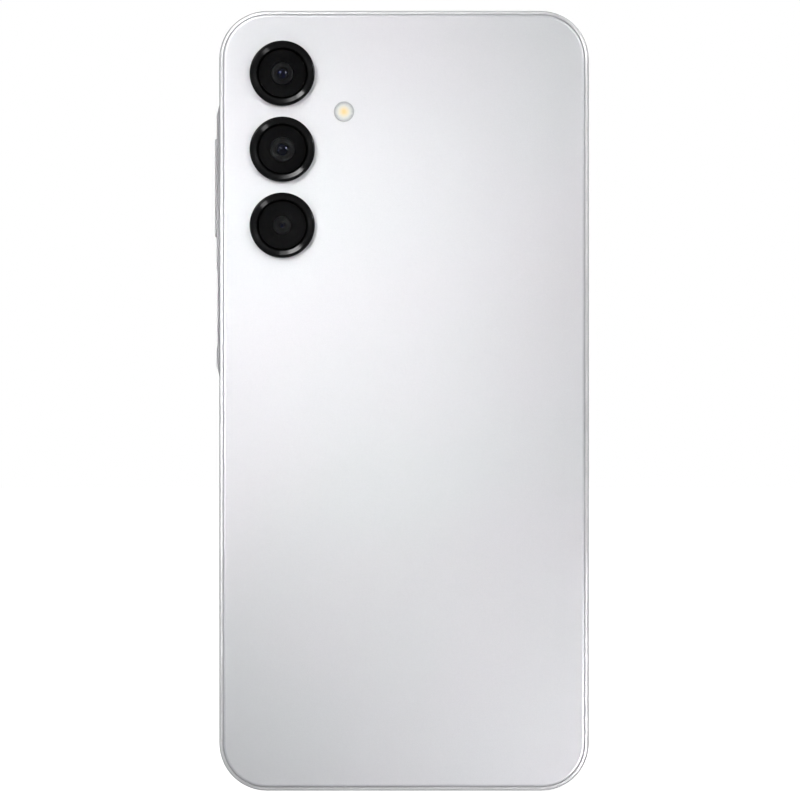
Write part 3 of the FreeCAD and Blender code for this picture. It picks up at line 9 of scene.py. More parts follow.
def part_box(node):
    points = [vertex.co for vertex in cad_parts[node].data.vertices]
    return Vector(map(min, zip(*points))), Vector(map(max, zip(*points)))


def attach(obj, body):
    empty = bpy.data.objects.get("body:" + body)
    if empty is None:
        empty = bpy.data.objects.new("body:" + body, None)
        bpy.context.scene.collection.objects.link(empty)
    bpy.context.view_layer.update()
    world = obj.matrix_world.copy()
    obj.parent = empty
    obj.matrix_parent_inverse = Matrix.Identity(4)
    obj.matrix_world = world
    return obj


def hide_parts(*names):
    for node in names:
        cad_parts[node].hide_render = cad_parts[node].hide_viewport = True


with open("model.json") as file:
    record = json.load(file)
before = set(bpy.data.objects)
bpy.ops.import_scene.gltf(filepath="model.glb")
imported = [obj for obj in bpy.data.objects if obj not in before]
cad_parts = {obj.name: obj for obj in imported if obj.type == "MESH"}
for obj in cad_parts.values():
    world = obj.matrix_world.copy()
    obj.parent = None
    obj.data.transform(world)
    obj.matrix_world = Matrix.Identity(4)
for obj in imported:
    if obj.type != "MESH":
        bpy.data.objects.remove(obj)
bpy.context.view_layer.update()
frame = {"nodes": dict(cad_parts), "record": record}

NODES = frame["nodes"]
SLOT_OF = {s["node"]: s["material_slot"] for s in frame["record"]["subparts"]}
# x and z of the rear cameras' and the lamp's axes, in metres
CAMERAS = [(-0.02565, 0.1512), (-0.02565, 0.1352), (-0.02565, 0.1192)]
FLASH = (-0.01265, 0.14315)
RING_REACH = 0.008  # half the cameras' pitch
ISLAND_X = (-0.0391, -0.0387)  # where the frame's side steps out to the keys' raised island
MM = 0.001
MIX_A, MIX_B, MIX_OUT = 6, 7, 2  # the colour sockets of a Mix node


# ---------------------------------------------------------------- material nodes


class Paint:
    """One node-based material, built up with short calls. Sizes are in millimetres."""

    def __init__(self, name):
        self.mat = bpy.data.materials.new(name)
        self.mat.use_nodes = True
        self.tree = self.mat.node_tree
        self.shader = self.tree.nodes["Principled BSDF"]
        where = self.add("ShaderNodeTexCoord")
        self.place = where.outputs["Object"]
        self.normal = where.outputs["Normal"]

    def add(self, kind, **values):
        node = self.tree.nodes.new(kind)
        for key, value in values.items():
            setattr(node, key, value)
        return node

    def wire(self, source, target):
        self.tree.links.new(source, target)

    def set(self, **values):
        for key, value in values.items():
            self.shader.inputs[key.replace("_", " ").title().replace("Ior", "IOR")].default_value = value

    def moved(self, shift=(0, 0, 0), stretch=(1, 1, 1)):
        """The object's own coordinates, shifted in metres and stretched."""
        mapping = self.add("ShaderNodeMapping")
        mapping.inputs["Location"].default_value = [-s * k for s, k in zip(shift, stretch)]
        mapping.inputs["Scale"].default_value = stretch
        self.wire(self.place, mapping.inputs["Vector"])
        return mapping.outputs["Vector"]

    def noise(self, size, detail=2.0, stretch=(1, 1, 1)):
        node = self.add("ShaderNodeTexNoise")
        node.inputs["Scale"].default_value = 1 / (size * MM)
        node.inputs["Detail"].default_value = detail
        node.inputs["Roughness"].default_value = 0.5
        self.wire(self.moved(stretch=stretch), node.inputs["Vector"])
        return node.outputs["Fac"]

    def cells(self, size, feature="F1", output="Distance"):
        node = self.add("ShaderNodeTexVoronoi", feature=feature)
        node.inputs["Scale"].default_value = 1 / (size * MM)
        self.wire(self.moved(), node.inputs["Vector"])
        return node.outputs[output]

    def wave(self, pitch, axis="X", kind="BANDS", shift=(0, 0, 0), bend=0.0):
        """Bands or rings, one every pitch."""
        node = self.add("ShaderNodeTexWave", wave_type=kind)
        if kind == "BANDS":
            node.bands_direction = axis
        else:
            node.rings_direction = axis
        node.inputs["Scale"].default_value = math.pi / (10 * pitch * MM)
        node.inputs["Distortion"].default_value = bend
        self.wire(self.moved(shift), node.inputs["Vector"])
        return node.outputs["Fac"]

    def math(self, operation, a, b=None):
        node = self.add("ShaderNodeMath", operation=operation)
        for socket, value in zip(node.inputs, (a, b)):
            if value is None:
                continue
            if isinstance(value, (int, float)):
                socket.default_value = value
            else:
                self.wire(value, socket)
        return node.outputs[0]

    def ramp(self, source, stops, sharp=False):
        node = self.add("ShaderNodeValToRGB")
        ramp = node.color_ramp
        ramp.interpolation = "CONSTANT" if sharp else "LINEAR"
        while len(ramp.elements) < len(stops):
            ramp.elements.new(0.5)
        for element, (at, colour) in zip(ramp.elements, stops):
            element.position = at
            element.color = (*colour, 1)
        self.wire(source, node.inputs["Fac"])
        return node.outputs["Color"]

    def spread(self, source, low, high, start=0.3, end=0.7):
        """A number from low to high as the source goes from start to end."""
        node = self.add("ShaderNodeMapRange")
        for key, value in (("From Min", start), ("From Max", end), ("To Min", low), ("To Max", high)):
            node.inputs[key].default_value = value
        self.wire(source, node.inputs["Value"])
        return node.outputs["Result"]

    def mix(self, share, a, b):
        node = self.add("ShaderNodeMix", data_type="RGBA")
        self.wire(share, node.inputs["Factor"])
        for socket, value in ((node.inputs[MIX_A], a), (node.inputs[MIX_B], b)):
            if isinstance(value, tuple):
                socket.default_value = (*value, 1)
            else:
                self.wire(value, socket)
        return node.outputs[MIX_OUT]

    def times(self, a, b):
        """Two colours multiplied."""
        node = self.add("ShaderNodeMix", data_type="RGBA", blend_type="MULTIPLY")
        node.inputs["Factor"].default_value = 1.0
        self.wire(a, node.inputs[MIX_A])
        self.wire(b, node.inputs[MIX_B])
        return node.outputs[MIX_OUT]

    def axis(self, source, name):
        """One component, X, Y or Z, of a vector."""
        split = self.add("ShaderNodeSeparateXYZ")
        self.wire(source, split.inputs[0])
        return split.outputs[name]

    def painted_facing_shade(self, source, facing_stops):
        """The source colour times a painted shade: faces turned away from front or back are painted darker.
        """
        tone = self.ramp(self.math("ABSOLUTE", self.axis(self.normal, "Y")), facing_stops)
        return self.times(source, tone)

    def reach(self, centre, radius, grain, detail, wander):
        """The distance from an axis along y as a share of a radius, with a slightly uneven edge."""
        x, z = centre
        far = self.add("ShaderNodeVectorMath", operation="LENGTH")
        self.wire(self.moved((x, 0, z), (1, 0, 1)), far.inputs[0])
        uneven = self.math("MULTIPLY", self.noise(grain, detail), wander)
        return self.math("DIVIDE", self.math("ADD", far.outputs["Value"], uneven), radius)

    def colour(self, source):
        self.wire(source, self.shader.inputs["Base Color"])

    def roughness(self, source):
        self.wire(source, self.shader.inputs["Roughness"])

    def bump(self, source, depth, strength=1.0):
        """Adds relief of a given depth in millimetres; later calls add to earlier ones."""
        node = self.add("ShaderNodeBump")
        node.inputs["Strength"].default_value = strength
        node.inputs["Distance"].default_value = depth * MM
        self.wire(source, node.inputs["Height"])
        before = self.shader.inputs["Normal"].links
        if before:
            self.wire(before[0].from_socket, node.inputs["Normal"])
        self.wire(node.outputs["Normal"], self.shader.inputs["Normal"])


def shade(colour, factor):
    return tuple(min(1.0, c * factor) for c in colour)


def grained(name, colour, rough, size=0.2, contrast=0.12, depth=0.002, metal=0.0, **more):
    """The common finish: fine grain in colour and relief, with slower patches in gloss."""
    paint = Paint(name)
    fine = paint.noise(size, 3.0)
    slow = paint.noise(size * 40, 2.0)
    tone = paint.math("ADD", paint.math("MULTIPLY", fine, 0.6), paint.math("MULTIPLY", slow, 0.4))
    stops = [(0.3, shade(colour, 1 - contrast)), (0.7, shade(colour, 1 + contrast))]
    paint.colour(paint.ramp(tone, stops))
    paint.roughness(paint.spread(tone, rough * 0.85, rough * 1.15))
    paint.bump(fine, depth)
    paint.set(metallic=metal, **more)
    return paint


# ---------------------------------------------------------------- finishes by slot


def cover_pearl():
    """Silver pearl paint under a thick clear coat: fine flakes, faint warm and cool drifts, and painted shade
    on the rounded edge.
    """
    paint = Paint("cover_pearl")
    flakes = paint.cells(0.05, output="Color")
    pearl = [(0.0, (0.74, 0.745, 0.76)), (0.5, (0.79, 0.795, 0.81)), (1.0, (0.84, 0.84, 0.85))]
    wash = paint.ramp(paint.noise(45, 1.0), [(0.35, (0.985, 0.995, 1.0)), (0.65, (1.0, 0.98, 1.0))])
    # painted shade: the cover's rounded edge is painted darker where it turns away from the back
    edge = [(0.6, (0.74, 0.74, 0.75)), (0.985, (0.86, 0.86, 0.87)), (0.998, (1, 1, 1))]
    paint.colour(paint.painted_facing_shade(paint.times(paint.ramp(flakes, pearl), wash), edge))
    paint.roughness(paint.spread(paint.noise(0.12, 2.0), 0.34, 0.42))
    paint.bump(flakes, 0.0006, 0.3)
    paint.set(metallic=0.45, coat_weight=0.7, coat_roughness=0.05, coat_ior=1.5)
    return paint


def frame_silver():
    """The frame's satin silver paint, with a very fine sparkle, and painted shade on its sides and the keys'
    island.
    """
    paint = Paint("frame_silver")
    flakes = paint.cells(0.06, output="Color")
    silver = paint.ramp(flakes, [(0.0, (0.70, 0.70, 0.715)), (1.0, (0.78, 0.78, 0.795))])
    # painted shade: faces turned sideways are painted darker grey
    painted_side_shade = [(0.15, (0.40, 0.40, 0.41)), (0.5, (0.48, 0.48, 0.49)), (0.78, (1, 1, 1))]
    side_shaded = paint.painted_facing_shade(silver, painted_side_shade)
    # painted shade: the keys' island is painted a shade darker than the rim
    island_shade = paint.spread(paint.axis(paint.place, "X"), 1.0, 0.0, *ISLAND_X)
    paint.colour(paint.mix(island_shade, side_shaded, (0.26, 0.26, 0.27)))
    paint.roughness(paint.spread(paint.noise(0.4, 3.0), 0.30, 0.36))
    paint.bump(paint.noise(0.1, 2.0), 0.0004, 0.3)
    paint.set(metallic=0.4, coat_weight=0.4, coat_roughness=0.1)
    return paint


def key_metal(name="key_metal", tone=0.40):
    """Keys and the tray's head: brushed along their length, a little darker than the frame."""
    paint = Paint(name)
    lines = paint.noise(0.06, 4.0, (1, 1, 0.06))
    dark, light = ((tone * grey, tone * grey, tone * (grey + 0.04)) for grey in (0.9, 1.1))
    paint.colour(paint.ramp(lines, [(0.3, dark), (0.7, light)]))
    paint.roughness(paint.spread(lines, 0.26, 0.36))
    paint.bump(lines, 0.0008, 0.4)
    paint.set(metallic=0.6, coat_weight=0.2, coat_roughness=0.15)
    return paint


def sensor_face():
    """The fingerprint sensor's coated face on the power key."""
    paint = Paint("sensor_face")
    lines = paint.noise(0.05, 3.0)
    paint.colour(paint.ramp(lines, [(0.3, (0.50, 0.50, 0.52)), (0.7, (0.57, 0.57, 0.59))]))
    paint.roughness(paint.spread(lines, 0.22, 0.30))
    paint.bump(lines, 0.0008, 0.4)
    paint.set(metallic=0.5, coat_weight=0.5, coat_roughness=0.08)
    return paint


def ring_metal():
    """Turned and polished black metal: fine circular lathe lines about each camera's axis."""
    paint = Paint("ring_metal")
    lines = None
    for x, z in CAMERAS:
        rings = paint.wave(0.06, "Y", "RINGS", shift=(x, 0, z))
        away = paint.math("ABSOLUTE", paint.math("SUBTRACT", paint.axis(paint.place, "Z"), z))
        term = paint.math("MULTIPLY", rings, paint.math("LESS_THAN", away, RING_REACH))
        lines = term if lines is None else paint.math("ADD", lines, term)
    paint.colour(paint.ramp(lines, [(0.0, (0.0015, 0.0015, 0.0017)), (1.0, (0.003, 0.003, 0.0033))]))
    paint.roughness(paint.spread(lines, 0.16, 0.24, 0.0, 1.0))
    paint.bump(lines, 0.0004, 0.3)
    paint.set(specular_ior_level=0.04, coat_weight=0.42, coat_roughness=0.13, coat_ior=1.42)
    return paint


def clear(name, tint, ior, rough, dust):
    """Clear glass, with a trace of haze that varies over it."""
    paint = Paint(name)
    haze = paint.noise(3.0, 3.0)
    paint.colour(paint.ramp(haze, [(0.3, tint), (0.7, shade(tint, 0.97))]))
    paint.roughness(paint.spread(haze, rough, rough + dust))
    paint.set(transmission_weight=1.0, ior=ior)
    return paint


def lens_glass():
    """Lens elements: a blue anti-reflection coating over dark glass."""
    paint = Paint("lens_glass")
    haze = paint.noise(0.6, 2.0)
    paint.colour(paint.ramp(haze, [(0.3, (0.0003, 0.001, 0.010)), (0.7, (0.0008, 0.0016, 0.018))]))
    paint.roughness(paint.spread(haze, 0.05, 0.1))
    paint.set(specular_ior_level=0.18, specular_tint=(0.3, 0.4, 1.0, 1))
    paint.set(coat_weight=0.5, coat_roughness=0.0, coat_ior=1.45)
    return paint


def screen_glass():
    return clear("screen_glass", (0.96, 0.97, 0.98), 1.42, 0.004, 0.008)


def camera_glass():
    return clear("camera_glass", (0.97, 0.98, 0.99), 1.22, 0.002, 0.004)


def flash_clear():
    """The lamp's milky window, warm over the phosphor and grey at its moulded rim."""
    x, z = FLASH
    paint = Paint("flash_clear")
    bands = [(0.0, (1.0, 0.70, 0.28)), (0.28, (0.98, 0.78, 0.42)), (0.52, (0.90, 0.84, 0.68))]
    bands += [(0.68, (0.80, 0.80, 0.76)), (0.80, (0.66, 0.67, 0.66)), (0.90, (0.50, 0.51, 0.52))]
    bands += [(1.0, (0.50, 0.52, 0.53))]
    paint.colour(paint.ramp(paint.reach(FLASH, 0.00235, 0.5, 3.0, 0.0005), bands))
    steps = paint.wave(0.26, "Y", "RINGS", shift=(x, 0, z))
    paint.roughness(paint.spread(steps, 0.1, 0.18, 0.0, 1.0))
    paint.bump(steps, 0.012, 0.35)
    paint.set(transmission_weight=0.22, ior=1.49, coat_weight=0.5, coat_roughness=0.04)
    return paint


def panel():
    """An unlit emissive panel: near black, with its pixel grid just visible close up."""
    paint = Paint("panel")
    grid = paint.math("MULTIPLY", paint.wave(0.066, "X"), paint.wave(0.066, "Z"))
    paint.colour(paint.ramp(grid, [(0.0, (0.006, 0.006, 0.007)), (1.0, (0.009, 0.009, 0.010))]))
    paint.roughness(paint.spread(paint.noise(4.0), 0.3, 0.36))
    paint.set(specular_ior_level=0.08)
    return paint


def print_black():
    """Screen-printed black behind glass."""
    return grained("print_black", (0.002, 0.002, 0.0022), 0.4, 0.08, 0.2, 0.0005, specular_ior_level=0.1)


def board():
    """Solder mask over tracks, with rows of plated holes."""
    paint = Paint("board")
    tracks = paint.cells(0.9, "DISTANCE_TO_EDGE")
    mask = (0.012, 0.075, 0.055)
    ink = paint.ramp(tracks, [(0.0, shade(mask, 1.9)), (0.05, shade(mask, 1.8)), (0.08, mask), (1.0, mask)])
    holes = paint.cells(0.7)
    dots = paint.ramp(holes, [(0.0, (1, 1, 1)), (0.12, (1, 1, 1)), (0.14, (0, 0, 0)), (1.0, (0, 0, 0))])
    paint.colour(paint.mix(dots, ink, (0.65, 0.48, 0.2)))
    paint.roughness(paint.spread(paint.noise(0.3), 0.3, 0.45))
    paint.bump(tracks, 0.02, 0.4)
    return paint


def flex():
    """Polyimide flexible circuit, with fine parallel copper tracks under the film."""
    paint = Paint("flex")
    tracks = paint.wave(0.16, "Z", bend=1.5)
    film = [(0.0, (0.085, 0.048, 0.014)), (0.5, (0.11, 0.06, 0.018)), (1.0, (0.20, 0.10, 0.03))]
    paint.colour(paint.ramp(tracks, film))
    paint.roughness(paint.spread(paint.noise(0.5), 0.28, 0.42))
    paint.bump(tracks, 0.008, 0.5)
    paint.set(coat_weight=0.3, coat_roughness=0.2)
    return paint


def mesh():
    """Woven acoustic mesh: a fine square grid of wires with dark openings."""
    paint = Paint("mesh")
    grid = paint.math("MAXIMUM", paint.wave(0.12, "X"), paint.wave(0.12, "Y"))
    wires = [(0.0, (0.004, 0.004, 0.004)), (0.6, (0.02, 0.02, 0.021)), (1.0, (0.12, 0.12, 0.125))]
    paint.colour(paint.ramp(grid, wires))
    paint.roughness(paint.spread(grid, 0.7, 0.4, 0.0, 1.0))
    paint.bump(grid, 0.02, 0.8)
    paint.set(metallic=0.5)
    return paint


def copper():
    """The charging and contact coil: enamelled wire wound round its own centre."""
    low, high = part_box("contact_coil")
    centre = (low + high) / 2
    paint = Paint("copper")
    turns = paint.wave(0.35, "Y", "RINGS", shift=(centre.x, 0, centre.z), bend=0.3)
    wire = [(0.0, (0.13, 0.045, 0.018)), (0.45, (0.55, 0.25, 0.12)), (1.0, (0.68, 0.34, 0.18))]
    paint.colour(paint.ramp(turns, wire))
    paint.roughness(paint.spread(paint.noise(0.3), 0.26, 0.38))
    paint.bump(turns, 0.03, 0.7)
    paint.set(metallic=0.9)
    return paint


def cell():
    """The battery's laminated pouch, wrapped in dark film with soft wrinkles."""
    paint = Paint("cell")
    wrinkles = paint.noise(7.0, 4.0)
    grain = paint.noise(0.15, 2.0)
    paint.colour(paint.ramp(grain, [(0.3, (0.028, 0.028, 0.03)), (0.7, (0.045, 0.045, 0.048))]))
    paint.roughness(paint.spread(wrinkles, 0.42, 0.55))
    paint.bump(wrinkles, 0.06, 0.6)
    paint.bump(grain, 0.003, 0.4)
    return paint


def foil():
    """Graphite and copper foil, lightly creased."""
    paint = Paint("foil")
    creases = paint.cells(2.6, "DISTANCE_TO_EDGE")
    paint.colour(paint.ramp(paint.noise(0.4, 3.0), [(0.3, (0.11, 0.105, 0.10)), (0.7, (0.19, 0.18, 0.17))]))
    paint.roughness(paint.spread(paint.noise(2.0), 0.28, 0.42))
    paint.bump(creases, 0.03, 0.25)
    paint.set(metallic=0.8)
    return paint


def chip():
    """Moulded chip packages, with a blank satin top."""
    return grained("chip", (0.022, 0.022, 0.024), 0.5, 0.05, 0.25, 0.004)


def connector():
    """Board connectors: dark mouldings with a row of gilt contacts."""
    paint = Paint("connector")
    row = paint.wave(0.35, "Z")
    contacts = [(0.0, (0.03, 0.028, 0.026)), (0.72, (0.035, 0.032, 0.03)), (0.76, (0.75, 0.55, 0.22))]
    paint.colour(paint.ramp(row, contacts, sharp=True))
    paint.roughness(paint.spread(row, 0.5, 0.3, 0.0, 1.0))
    paint.bump(row, 0.02, 0.5)
    return paint


def sensor():
    """The image sensor's iridescent grid."""
    paint = Paint("sensor")
    grid = paint.math("MULTIPLY", paint.wave(0.09, "X"), paint.wave(0.09, "Z"))
    paint.colour(paint.ramp(grid, [(0.0, (0.03, 0.02, 0.06)), (1.0, (0.05, 0.12, 0.10))]))
    paint.roughness(paint.spread(grid, 0.12, 0.22, 0.0, 1.0))
    paint.set(coat_weight=0.8, coat_roughness=0.03)
    return paint


def led():
    """The lamp's phosphor square, amber in the middle of a pale ceramic."""
    paint = Paint("led")
    bands = [(0.0, (0.95, 0.66, 0.2)), (0.5, (0.9, 0.7, 0.32)), (0.8, (0.85, 0.83, 0.75))]
    paint.colour(paint.ramp(paint.reach(FLASH, 0.002, 0.3, 2.0, 0.0002), bands))
    paint.roughness(paint.spread(paint.noise(0.2), 0.45, 0.6))
    paint.bump(paint.noise(0.08, 2.0), 0.004, 0.5)
    return paint


def steel():
    """Stamped stainless steel, brushed one way."""
    paint = Paint("steel")
    lines = paint.noise(0.09, 4.0, (0.12, 1, 1))
    paint.colour(paint.ramp(lines, [(0.3, (0.47, 0.47, 0.465)), (0.7, (0.60, 0.60, 0.59))]))
    paint.roughness(paint.spread(lines, 0.24, 0.38))
    paint.bump(lines, 0.003, 0.5)
    paint.set(metallic=1.0)
    return paint


def plate_alloy():
    """Cast magnesium-aluminium plate: a fine pitted skin with slow tone changes."""
    paint = Paint("plate_alloy")
    pits = paint.cells(0.25)
    slow = paint.noise(12.0, 3.0)
    paint.colour(paint.ramp(slow, [(0.3, (0.40, 0.41, 0.43)), (0.7, (0.52, 0.53, 0.55))]))
    paint.roughness(paint.spread(pits, 0.38, 0.52, 0.0, 0.8))
    paint.bump(pits, 0.01, 0.5)
    paint.set(metallic=0.9)
    return paint


def cable():
    """Braided coaxial lead under a thin jacket."""
    paint = Paint("cable")
    braid = paint.math("MULTIPLY", paint.wave(0.25, "DIAGONAL"), paint.wave(0.25, "Z"))
    paint.colour(paint.ramp(braid, [(0.0, (0.02, 0.02, 0.022)), (1.0, (0.05, 0.05, 0.055))]))
    paint.roughness(paint.spread(braid, 0.5, 0.38, 0.0, 1.0))
    paint.bump(braid, 0.015, 0.6)
    return paint


def camera_body():
    """Black camera plastic with a fine anti-glare grain."""
    return grained("camera_body", (0.0045, 0.0052, 0.005), 0.45, 0.06, 0.2, 0.003, specular_ior_level=0.33)


SIMPLE = {
    "tape": dict(colour=(0.03, 0.03, 0.033), rough=0.75, size=0.12, depth=0.02),
    "foam": dict(colour=(0.045, 0.045, 0.045), rough=0.9, size=0.15, contrast=0.3, depth=0.04),
    "tray_black": dict(colour=(0.07, 0.07, 0.073), rough=0.48, size=0.1, depth=0.006),
    "seal": dict(colour=(0.02, 0.02, 0.021), rough=0.6, size=0.2, depth=0.004, sheen_weight=0.2),
    "bracket_black": dict(colour=(0.026, 0.026, 0.028), rough=0.5, size=0.09, contrast=0.2, depth=0.008),
    "white_tape": dict(colour=(0.78, 0.78, 0.76), rough=0.6, size=0.5, contrast=0.05, depth=0.008),
    "gold": dict(colour=(0.78, 0.57, 0.25), rough=0.25, size=0.1, contrast=0.08, depth=0.002, metal=1.0),
    "port_black": dict(colour=(0.03, 0.03, 0.031), rough=0.4, size=0.08, depth=0.004),
    "rotor_metal": dict(colour=(0.3, 0.29, 0.28), rough=0.45, size=0.1, contrast=0.2, depth=0.006, metal=1.0),
}
SPECIAL = [
    cover_pearl, frame_silver, key_metal, sensor_face, ring_metal, lens_glass, screen_glass, camera_glass,
    flash_clear, panel, board, flex, mesh, copper, cell, foil, chip, connector, sensor, led, steel,
    plate_alloy, cable, camera_body, print_black,
]


def finishes():
    """Every material by name: one for each slot, and the two that only scene pieces use."""
    made = {name: grained(name, **values).mat for name, values in SIMPLE.items()}
    made.update({make.__name__: make().mat for make in SPECIAL})
    made["tray_cap"] = key_metal("tray_cap", 0.38).mat
    return made


# ---------------------------------------------------------------- mesh helpers


def linked(name, data):
    obj = bpy.data.objects.new(name, data)
    bpy.context.scene.collection.objects.link(obj)
    return obj


def mesh_object(name, bm, mat):
    mesh_data = bpy.data.meshes.new(name)
    bm.to_mesh(mesh_data)
    bm.free()
    mesh_data.materials.append(mat)
    return linked(name, mesh_data)


def finish_mesh(name, bm, mat, body, smooth=35.0):
    """Makes a piece of the part: shaded smooth up to an angle, riding on a body, in a slot."""
    bmesh.ops.recalc_face_normals(bm, faces=bm.faces)
    obj = mesh_object(name, bm, mat)
    obj.data.shade_smooth()
    obj.data.set_sharp_from_angle(angle=math.radians(smooth))
    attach(obj, body)
    return obj


def lathe(bm, profile, centre, steps=96):
    """Turns a closed (radius, y) profile, in millimetres, about an axis along y."""
    x, z = centre
    rows = []
    for radius, y in profile:
        if radius == 0:
            rows.append([bm.verts.new((x, y * MM, z))])
            continue
        row = []
        for i in range(steps):
            a = 2 * math.pi * i / steps
            row.append(bm.verts.new((x + radius * MM * math.cos(a), y * MM, z + radius * MM * math.sin(a))))
        rows.append(row)
    for one, two in zip(rows, rows[1:] + rows[:1]):
        if len(one) == 1 and len(two) == 1:
            continue
        for i in range(steps):
            j = (i + 1) % steps
            corners = [one[i % len(one)], one[j % len(one)], two[j % len(two)], two[i % len(two)]]
            bm.faces.new(list(dict.fromkeys(corners)))


def outline(width, height, middle, radius, steps=12):
    """Points of a rounded rectangle in x and z, in millimetres, anticlockwise."""
    x, z = middle
    w, h = width / 2 - radius, height / 2 - radius
    points = []
    for turn, (sx, sz) in enumerate(((1, 1), (-1, 1), (-1, -1), (1, -1))):
        for i in range(steps + 1):
            a = math.pi / 2 * (turn + i / steps)
            points.append((x + sx * w + radius * math.cos(a), z + sz * h + radius * math.sin(a)))
    return points


def filled(loops, level):
    """Triangles between closed loops, as indices into all their points in turn, in a fixed order."""
    points = [point for loop in loops for point in loop]
    flat = bmesh.new()
    edges = []
    for loop in loops:
        verts = [flat.verts.new((x * MM, level * MM, z * MM)) for x, z in loop]
        edges += [flat.edges.new((a, b)) for a, b in zip(verts, verts[1:] + verts[:1])]
    flat.verts.index_update()
    bmesh.ops.triangle_fill(flat, use_beauty=True, use_dissolve=False, edges=edges)
    triangles = []
    # the fill makes the same triangles every time, but in no fixed order or winding
    for face in flat.faces:
        corners = [v.index for v in face.verts]
        (xa, za), (xb, zb), (xc, zc) = (points[c] for c in corners)
        if (xb - xa) * (zc - za) < (xc - xa) * (zb - za):
            corners.reverse()
        lowest = corners.index(min(corners))
        triangles.append(corners[lowest:] + corners[:lowest])
    flat.free()
    return sorted(triangles)


def plate(bm, loops, y0, y1):
    """A flat plate with holes: the first loop is its edge and the others are cut out."""
    points = [point for loop in loops for point in loop]
    near, far = ([bm.verts.new((x * MM, y * MM, z * MM)) for x, z in points] for y in (y0, y1))
    for triangle in filled(loops, y0):
        bm.faces.new([near[c] for c in triangle])
        bm.faces.new([far[c] for c in reversed(triangle)])
    first = 0
    for loop in loops:
        ring = list(range(first, first + len(loop)))
        for a, b in zip(ring, ring[1:] + ring[:1]):
            bm.faces.new((near[a], near[b], far[b], far[a]))
        first += len(loop)


# ---------------------------------------------------------------- added pieces


def lens_masks(made):
    """The black print behind each camera's cover glass, open over the lens."""
    windows, rim, taper = (2.62, 2.62, 1.95), 4.95, 0.05
    outer, inner = -4.445, -4.425
    for i, (centre, window) in enumerate(zip(CAMERAS, windows)):
        bm = bmesh.new()
        lathe(bm, [(window, outer), (rim, outer), (rim, inner), (window + taper, inner)], centre)
        finish_mesh(f"lens_mask_{i}", bm, made["print_black"], "phone")


def flash_optic(made):
    """The lamp's moulded window: a flush face, Fresnel steps behind it and a flange."""
    bm = bmesh.new()
    profile = [(0, -3.95), (1.98, -3.95), (2.06, -3.88), (2.06, -3.3)]
    profile += [(2.88, -3.28), (2.88, -2.99), (1.9, -2.99)]
    radius, innermost, pitch, slope, crest, root = 1.8, 0.35, 0.26, 0.24, -3.25, -3.02
    while radius > innermost:
        profile += [(radius, crest), (radius - slope, root)]
        radius -= pitch
    profile += [(0, -3.12)]
    lathe(bm, profile, FLASH)
    obj = finish_mesh("flash_optic", bm, made["flash_clear"], "phone", 20.0)
    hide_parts("flash_lens")


def screen_border(made):
    """The black print behind the cover glass, round the active area and its camera notch."""
    corner_steps = 16
    edge = outline(75.9, 162.2, (0, 82.2), 8.6, corner_steps)
    area_height, area_middle = 154.6, 82.9
    area = outline(71.4, area_height, (0, area_middle), 6.4, corner_steps)
    top = area_middle + area_height / 2
    notch_radius, notch_z = 3.0, 159.0
    shoulder = [(4.6, top), (3.55, top - 0.35), (3.02, top - 1.05)]
    bowl = [
        (notch_radius * math.sin(a), notch_z - notch_radius * math.cos(a))
        for a in (1.3, 0.9, 0.45, 0.0, -0.45, -0.9, -1.3)
    ]
    notch = shoulder + bowl + [(-x, z) for x, z in reversed(shoulder)]
    first_corner = corner_steps + 1
    bm = bmesh.new()
    plate(bm, [edge, area[:first_corner] + notch + area[first_corner:]], 3.231, 3.244)
    finish_mesh("screen_border", bm, made["print_black"], "phone")


# ---------------------------------------------------------------- stage, camera and lights


def area_light(name, at, aim, size, power, colour, spread, roll=0):
    data = bpy.data.lights.new(name, "AREA")
    data.shape = "RECTANGLE"
    data.size, data.size_y = size
    data.energy = power
    data.color = colour
    data.spread = math.radians(spread)
    obj = linked(name, data)
    obj.location = at
    facing = (Vector(aim) - Vector(at)).to_track_quat("-Z", "Y")
    obj.rotation_euler = (facing @ Quaternion((0, 0, 1), math.radians(roll))).to_euler()
    obj.visible_camera = False


# place, aim, size, watts, colour, spread and roll in degrees; the narrow ones are gridded softboxes
LIGHTS = {
    "key_upper_left": ((-0.206, -0.27, 0.452), (-0.026, 0, 0.135), (0.20, 0.045), 0.69, (1, 1, 1), 180, 25),
    "kick_low_right": ((0.256, -0.335, -0.203), (-0.026, 0, 0.132), (0.11, 0.09), 0.26, (1, 1, 1), 180, 40),
    "grid_upper_left": ((-0.20, -0.42, 0.26), (-0.015, 0, 0.100), (0.10, 0.10), 0.023, (1, 1, 1), 20),
    "grid_upper_right": ((0.26, -0.38, 0.26), (-0.034, 0, 0.122), (0.12, 0.12), 0.036, (1, 0.99, 1), 25),
    "grid_low_right": ((0.22, -0.30, -0.05), (0.030, 0, 0.0), (0.08, 0.08), 0.021, (1, 0.98, 1), 25),
    "grid_low_left": ((-0.30, -0.30, 0.10), (-0.035, 0, 0.07), (0.06, 0.06), 0.022, (1, 1, 1), 40),
    "top_strip": ((-0.08, -0.222, 0.42), (0, 0, 0.16), (0.15, 0.05), 0.14, (1, 1, 1), 180),
    "back_fill": ((0.35, 0.70, 0.45), (0, 0, 0.08), (0.5, 0.5), 3.0, (1, 1, 1), 180),
}


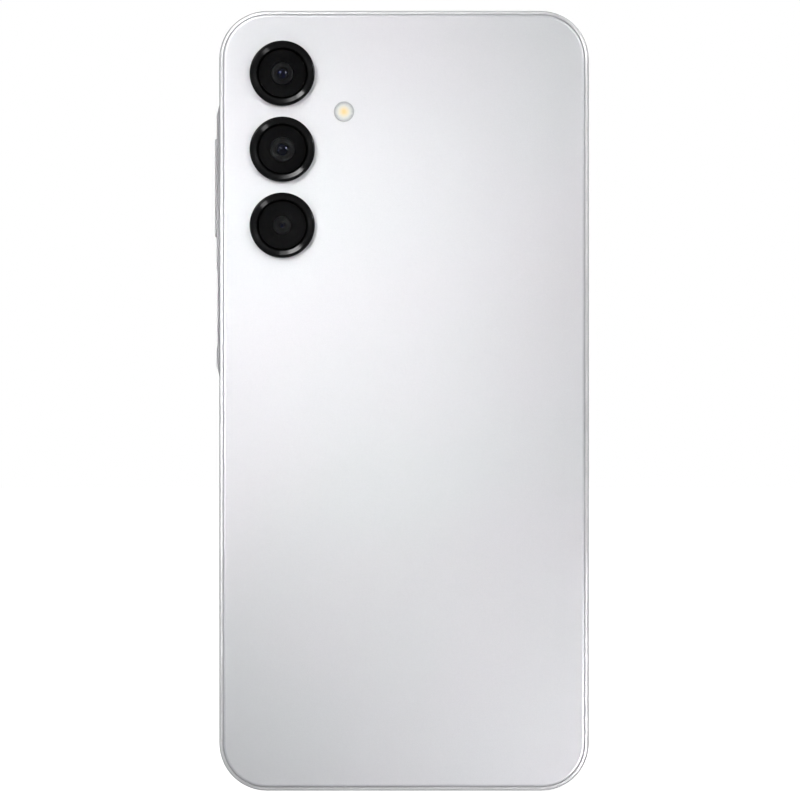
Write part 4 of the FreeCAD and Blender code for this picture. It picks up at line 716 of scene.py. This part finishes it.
def stage():
    """Plain white behind the part, a soft tent of light round it and the lights."""
    scene = bpy.context.scene
    scene.view_settings.view_transform = "Standard"
    world = bpy.data.worlds.new("studio")
    scene.world = world
    world.use_nodes = True
    tree = world.node_tree
    tree.nodes.clear()
    new, join = tree.nodes.new, tree.links.new
    seen, lit = new("ShaderNodeBackground"), new("ShaderNodeBackground")
    seen.inputs["Color"].default_value = (1, 1, 1, 1)
    lit.inputs["Strength"].default_value = 0.4
    # a pale tent round the sides, with darker cards straight in front and behind
    direction, split = new("ShaderNodeTexCoord"), new("ShaderNodeSeparateXYZ")
    depth, ramp = new("ShaderNodeMath"), new("ShaderNodeValToRGB")
    depth.operation = "ABSOLUTE"
    for element, at, tone in zip(ramp.color_ramp.elements, (0.70, 0.90), (1.0, 0.22)):
        element.position = at
        element.color = (tone, tone, tone, 1)
    join(direction.outputs["Generated"], split.inputs[0])
    join(split.outputs["Y"], depth.inputs[0])
    join(depth.outputs[0], ramp.inputs["Fac"])
    join(ramp.outputs["Color"], lit.inputs["Color"])
    path, mix, out = new("ShaderNodeLightPath"), new("ShaderNodeMixShader"), new("ShaderNodeOutputWorld")
    for source, target in zip((path.outputs["Is Camera Ray"], lit.outputs[0], seen.outputs[0]), mix.inputs):
        join(source, target)
    join(mix.outputs[0], out.inputs["Surface"])
    for name, values in LIGHTS.items():
        area_light(name, *values)


def floor():
    """A pale floor just under the part, that only the camera sees."""
    paint = Paint("floor")
    patches = paint.noise(60, 2.0)
    paint.colour(paint.ramp(patches, [(0.3, (0.30, 0.30, 0.30)), (0.7, (0.32, 0.32, 0.32))]))
    paint.roughness(paint.spread(patches, 0.85, 0.95))
    paint.set(specular_ior_level=0.0, emission_strength=0.95)
    paint.shader.inputs["Emission Color"].default_value = (1, 1, 1, 1)
    bm = bmesh.new()
    bmesh.ops.create_grid(bm, x_segments=8, y_segments=8, size=4.0)
    obj = mesh_object("floor", bm, paint.mat)
    obj.location.z = -0.00005
    obj.visible_diffuse = obj.visible_glossy = obj.visible_transmission = obj.visible_shadow = False


def camera():
    """A long lens square on to the back."""
    data = bpy.data.cameras.new("camera")
    data.sensor_width = 36
    data.lens = 250
    data.clip_start = 0.01
    obj = linked("camera", data)
    obj.location = (-0.000854, -1.17475, 0.08238)
    obj.rotation_euler = (math.pi / 2, 0, 0)
    bpy.context.scene.camera = obj


made = finishes()
for node_name, node in NODES.items():
    finish = "tray_cap" if node_name == "sim_tray_head" else SLOT_OF[node_name]
    for material_slot in node.material_slots:
        material_slot.material = made[finish]
lens_masks(made)
flash_optic(made)
screen_border(made)
stage()
floor()
camera()
bpy.context.view_layer.update()
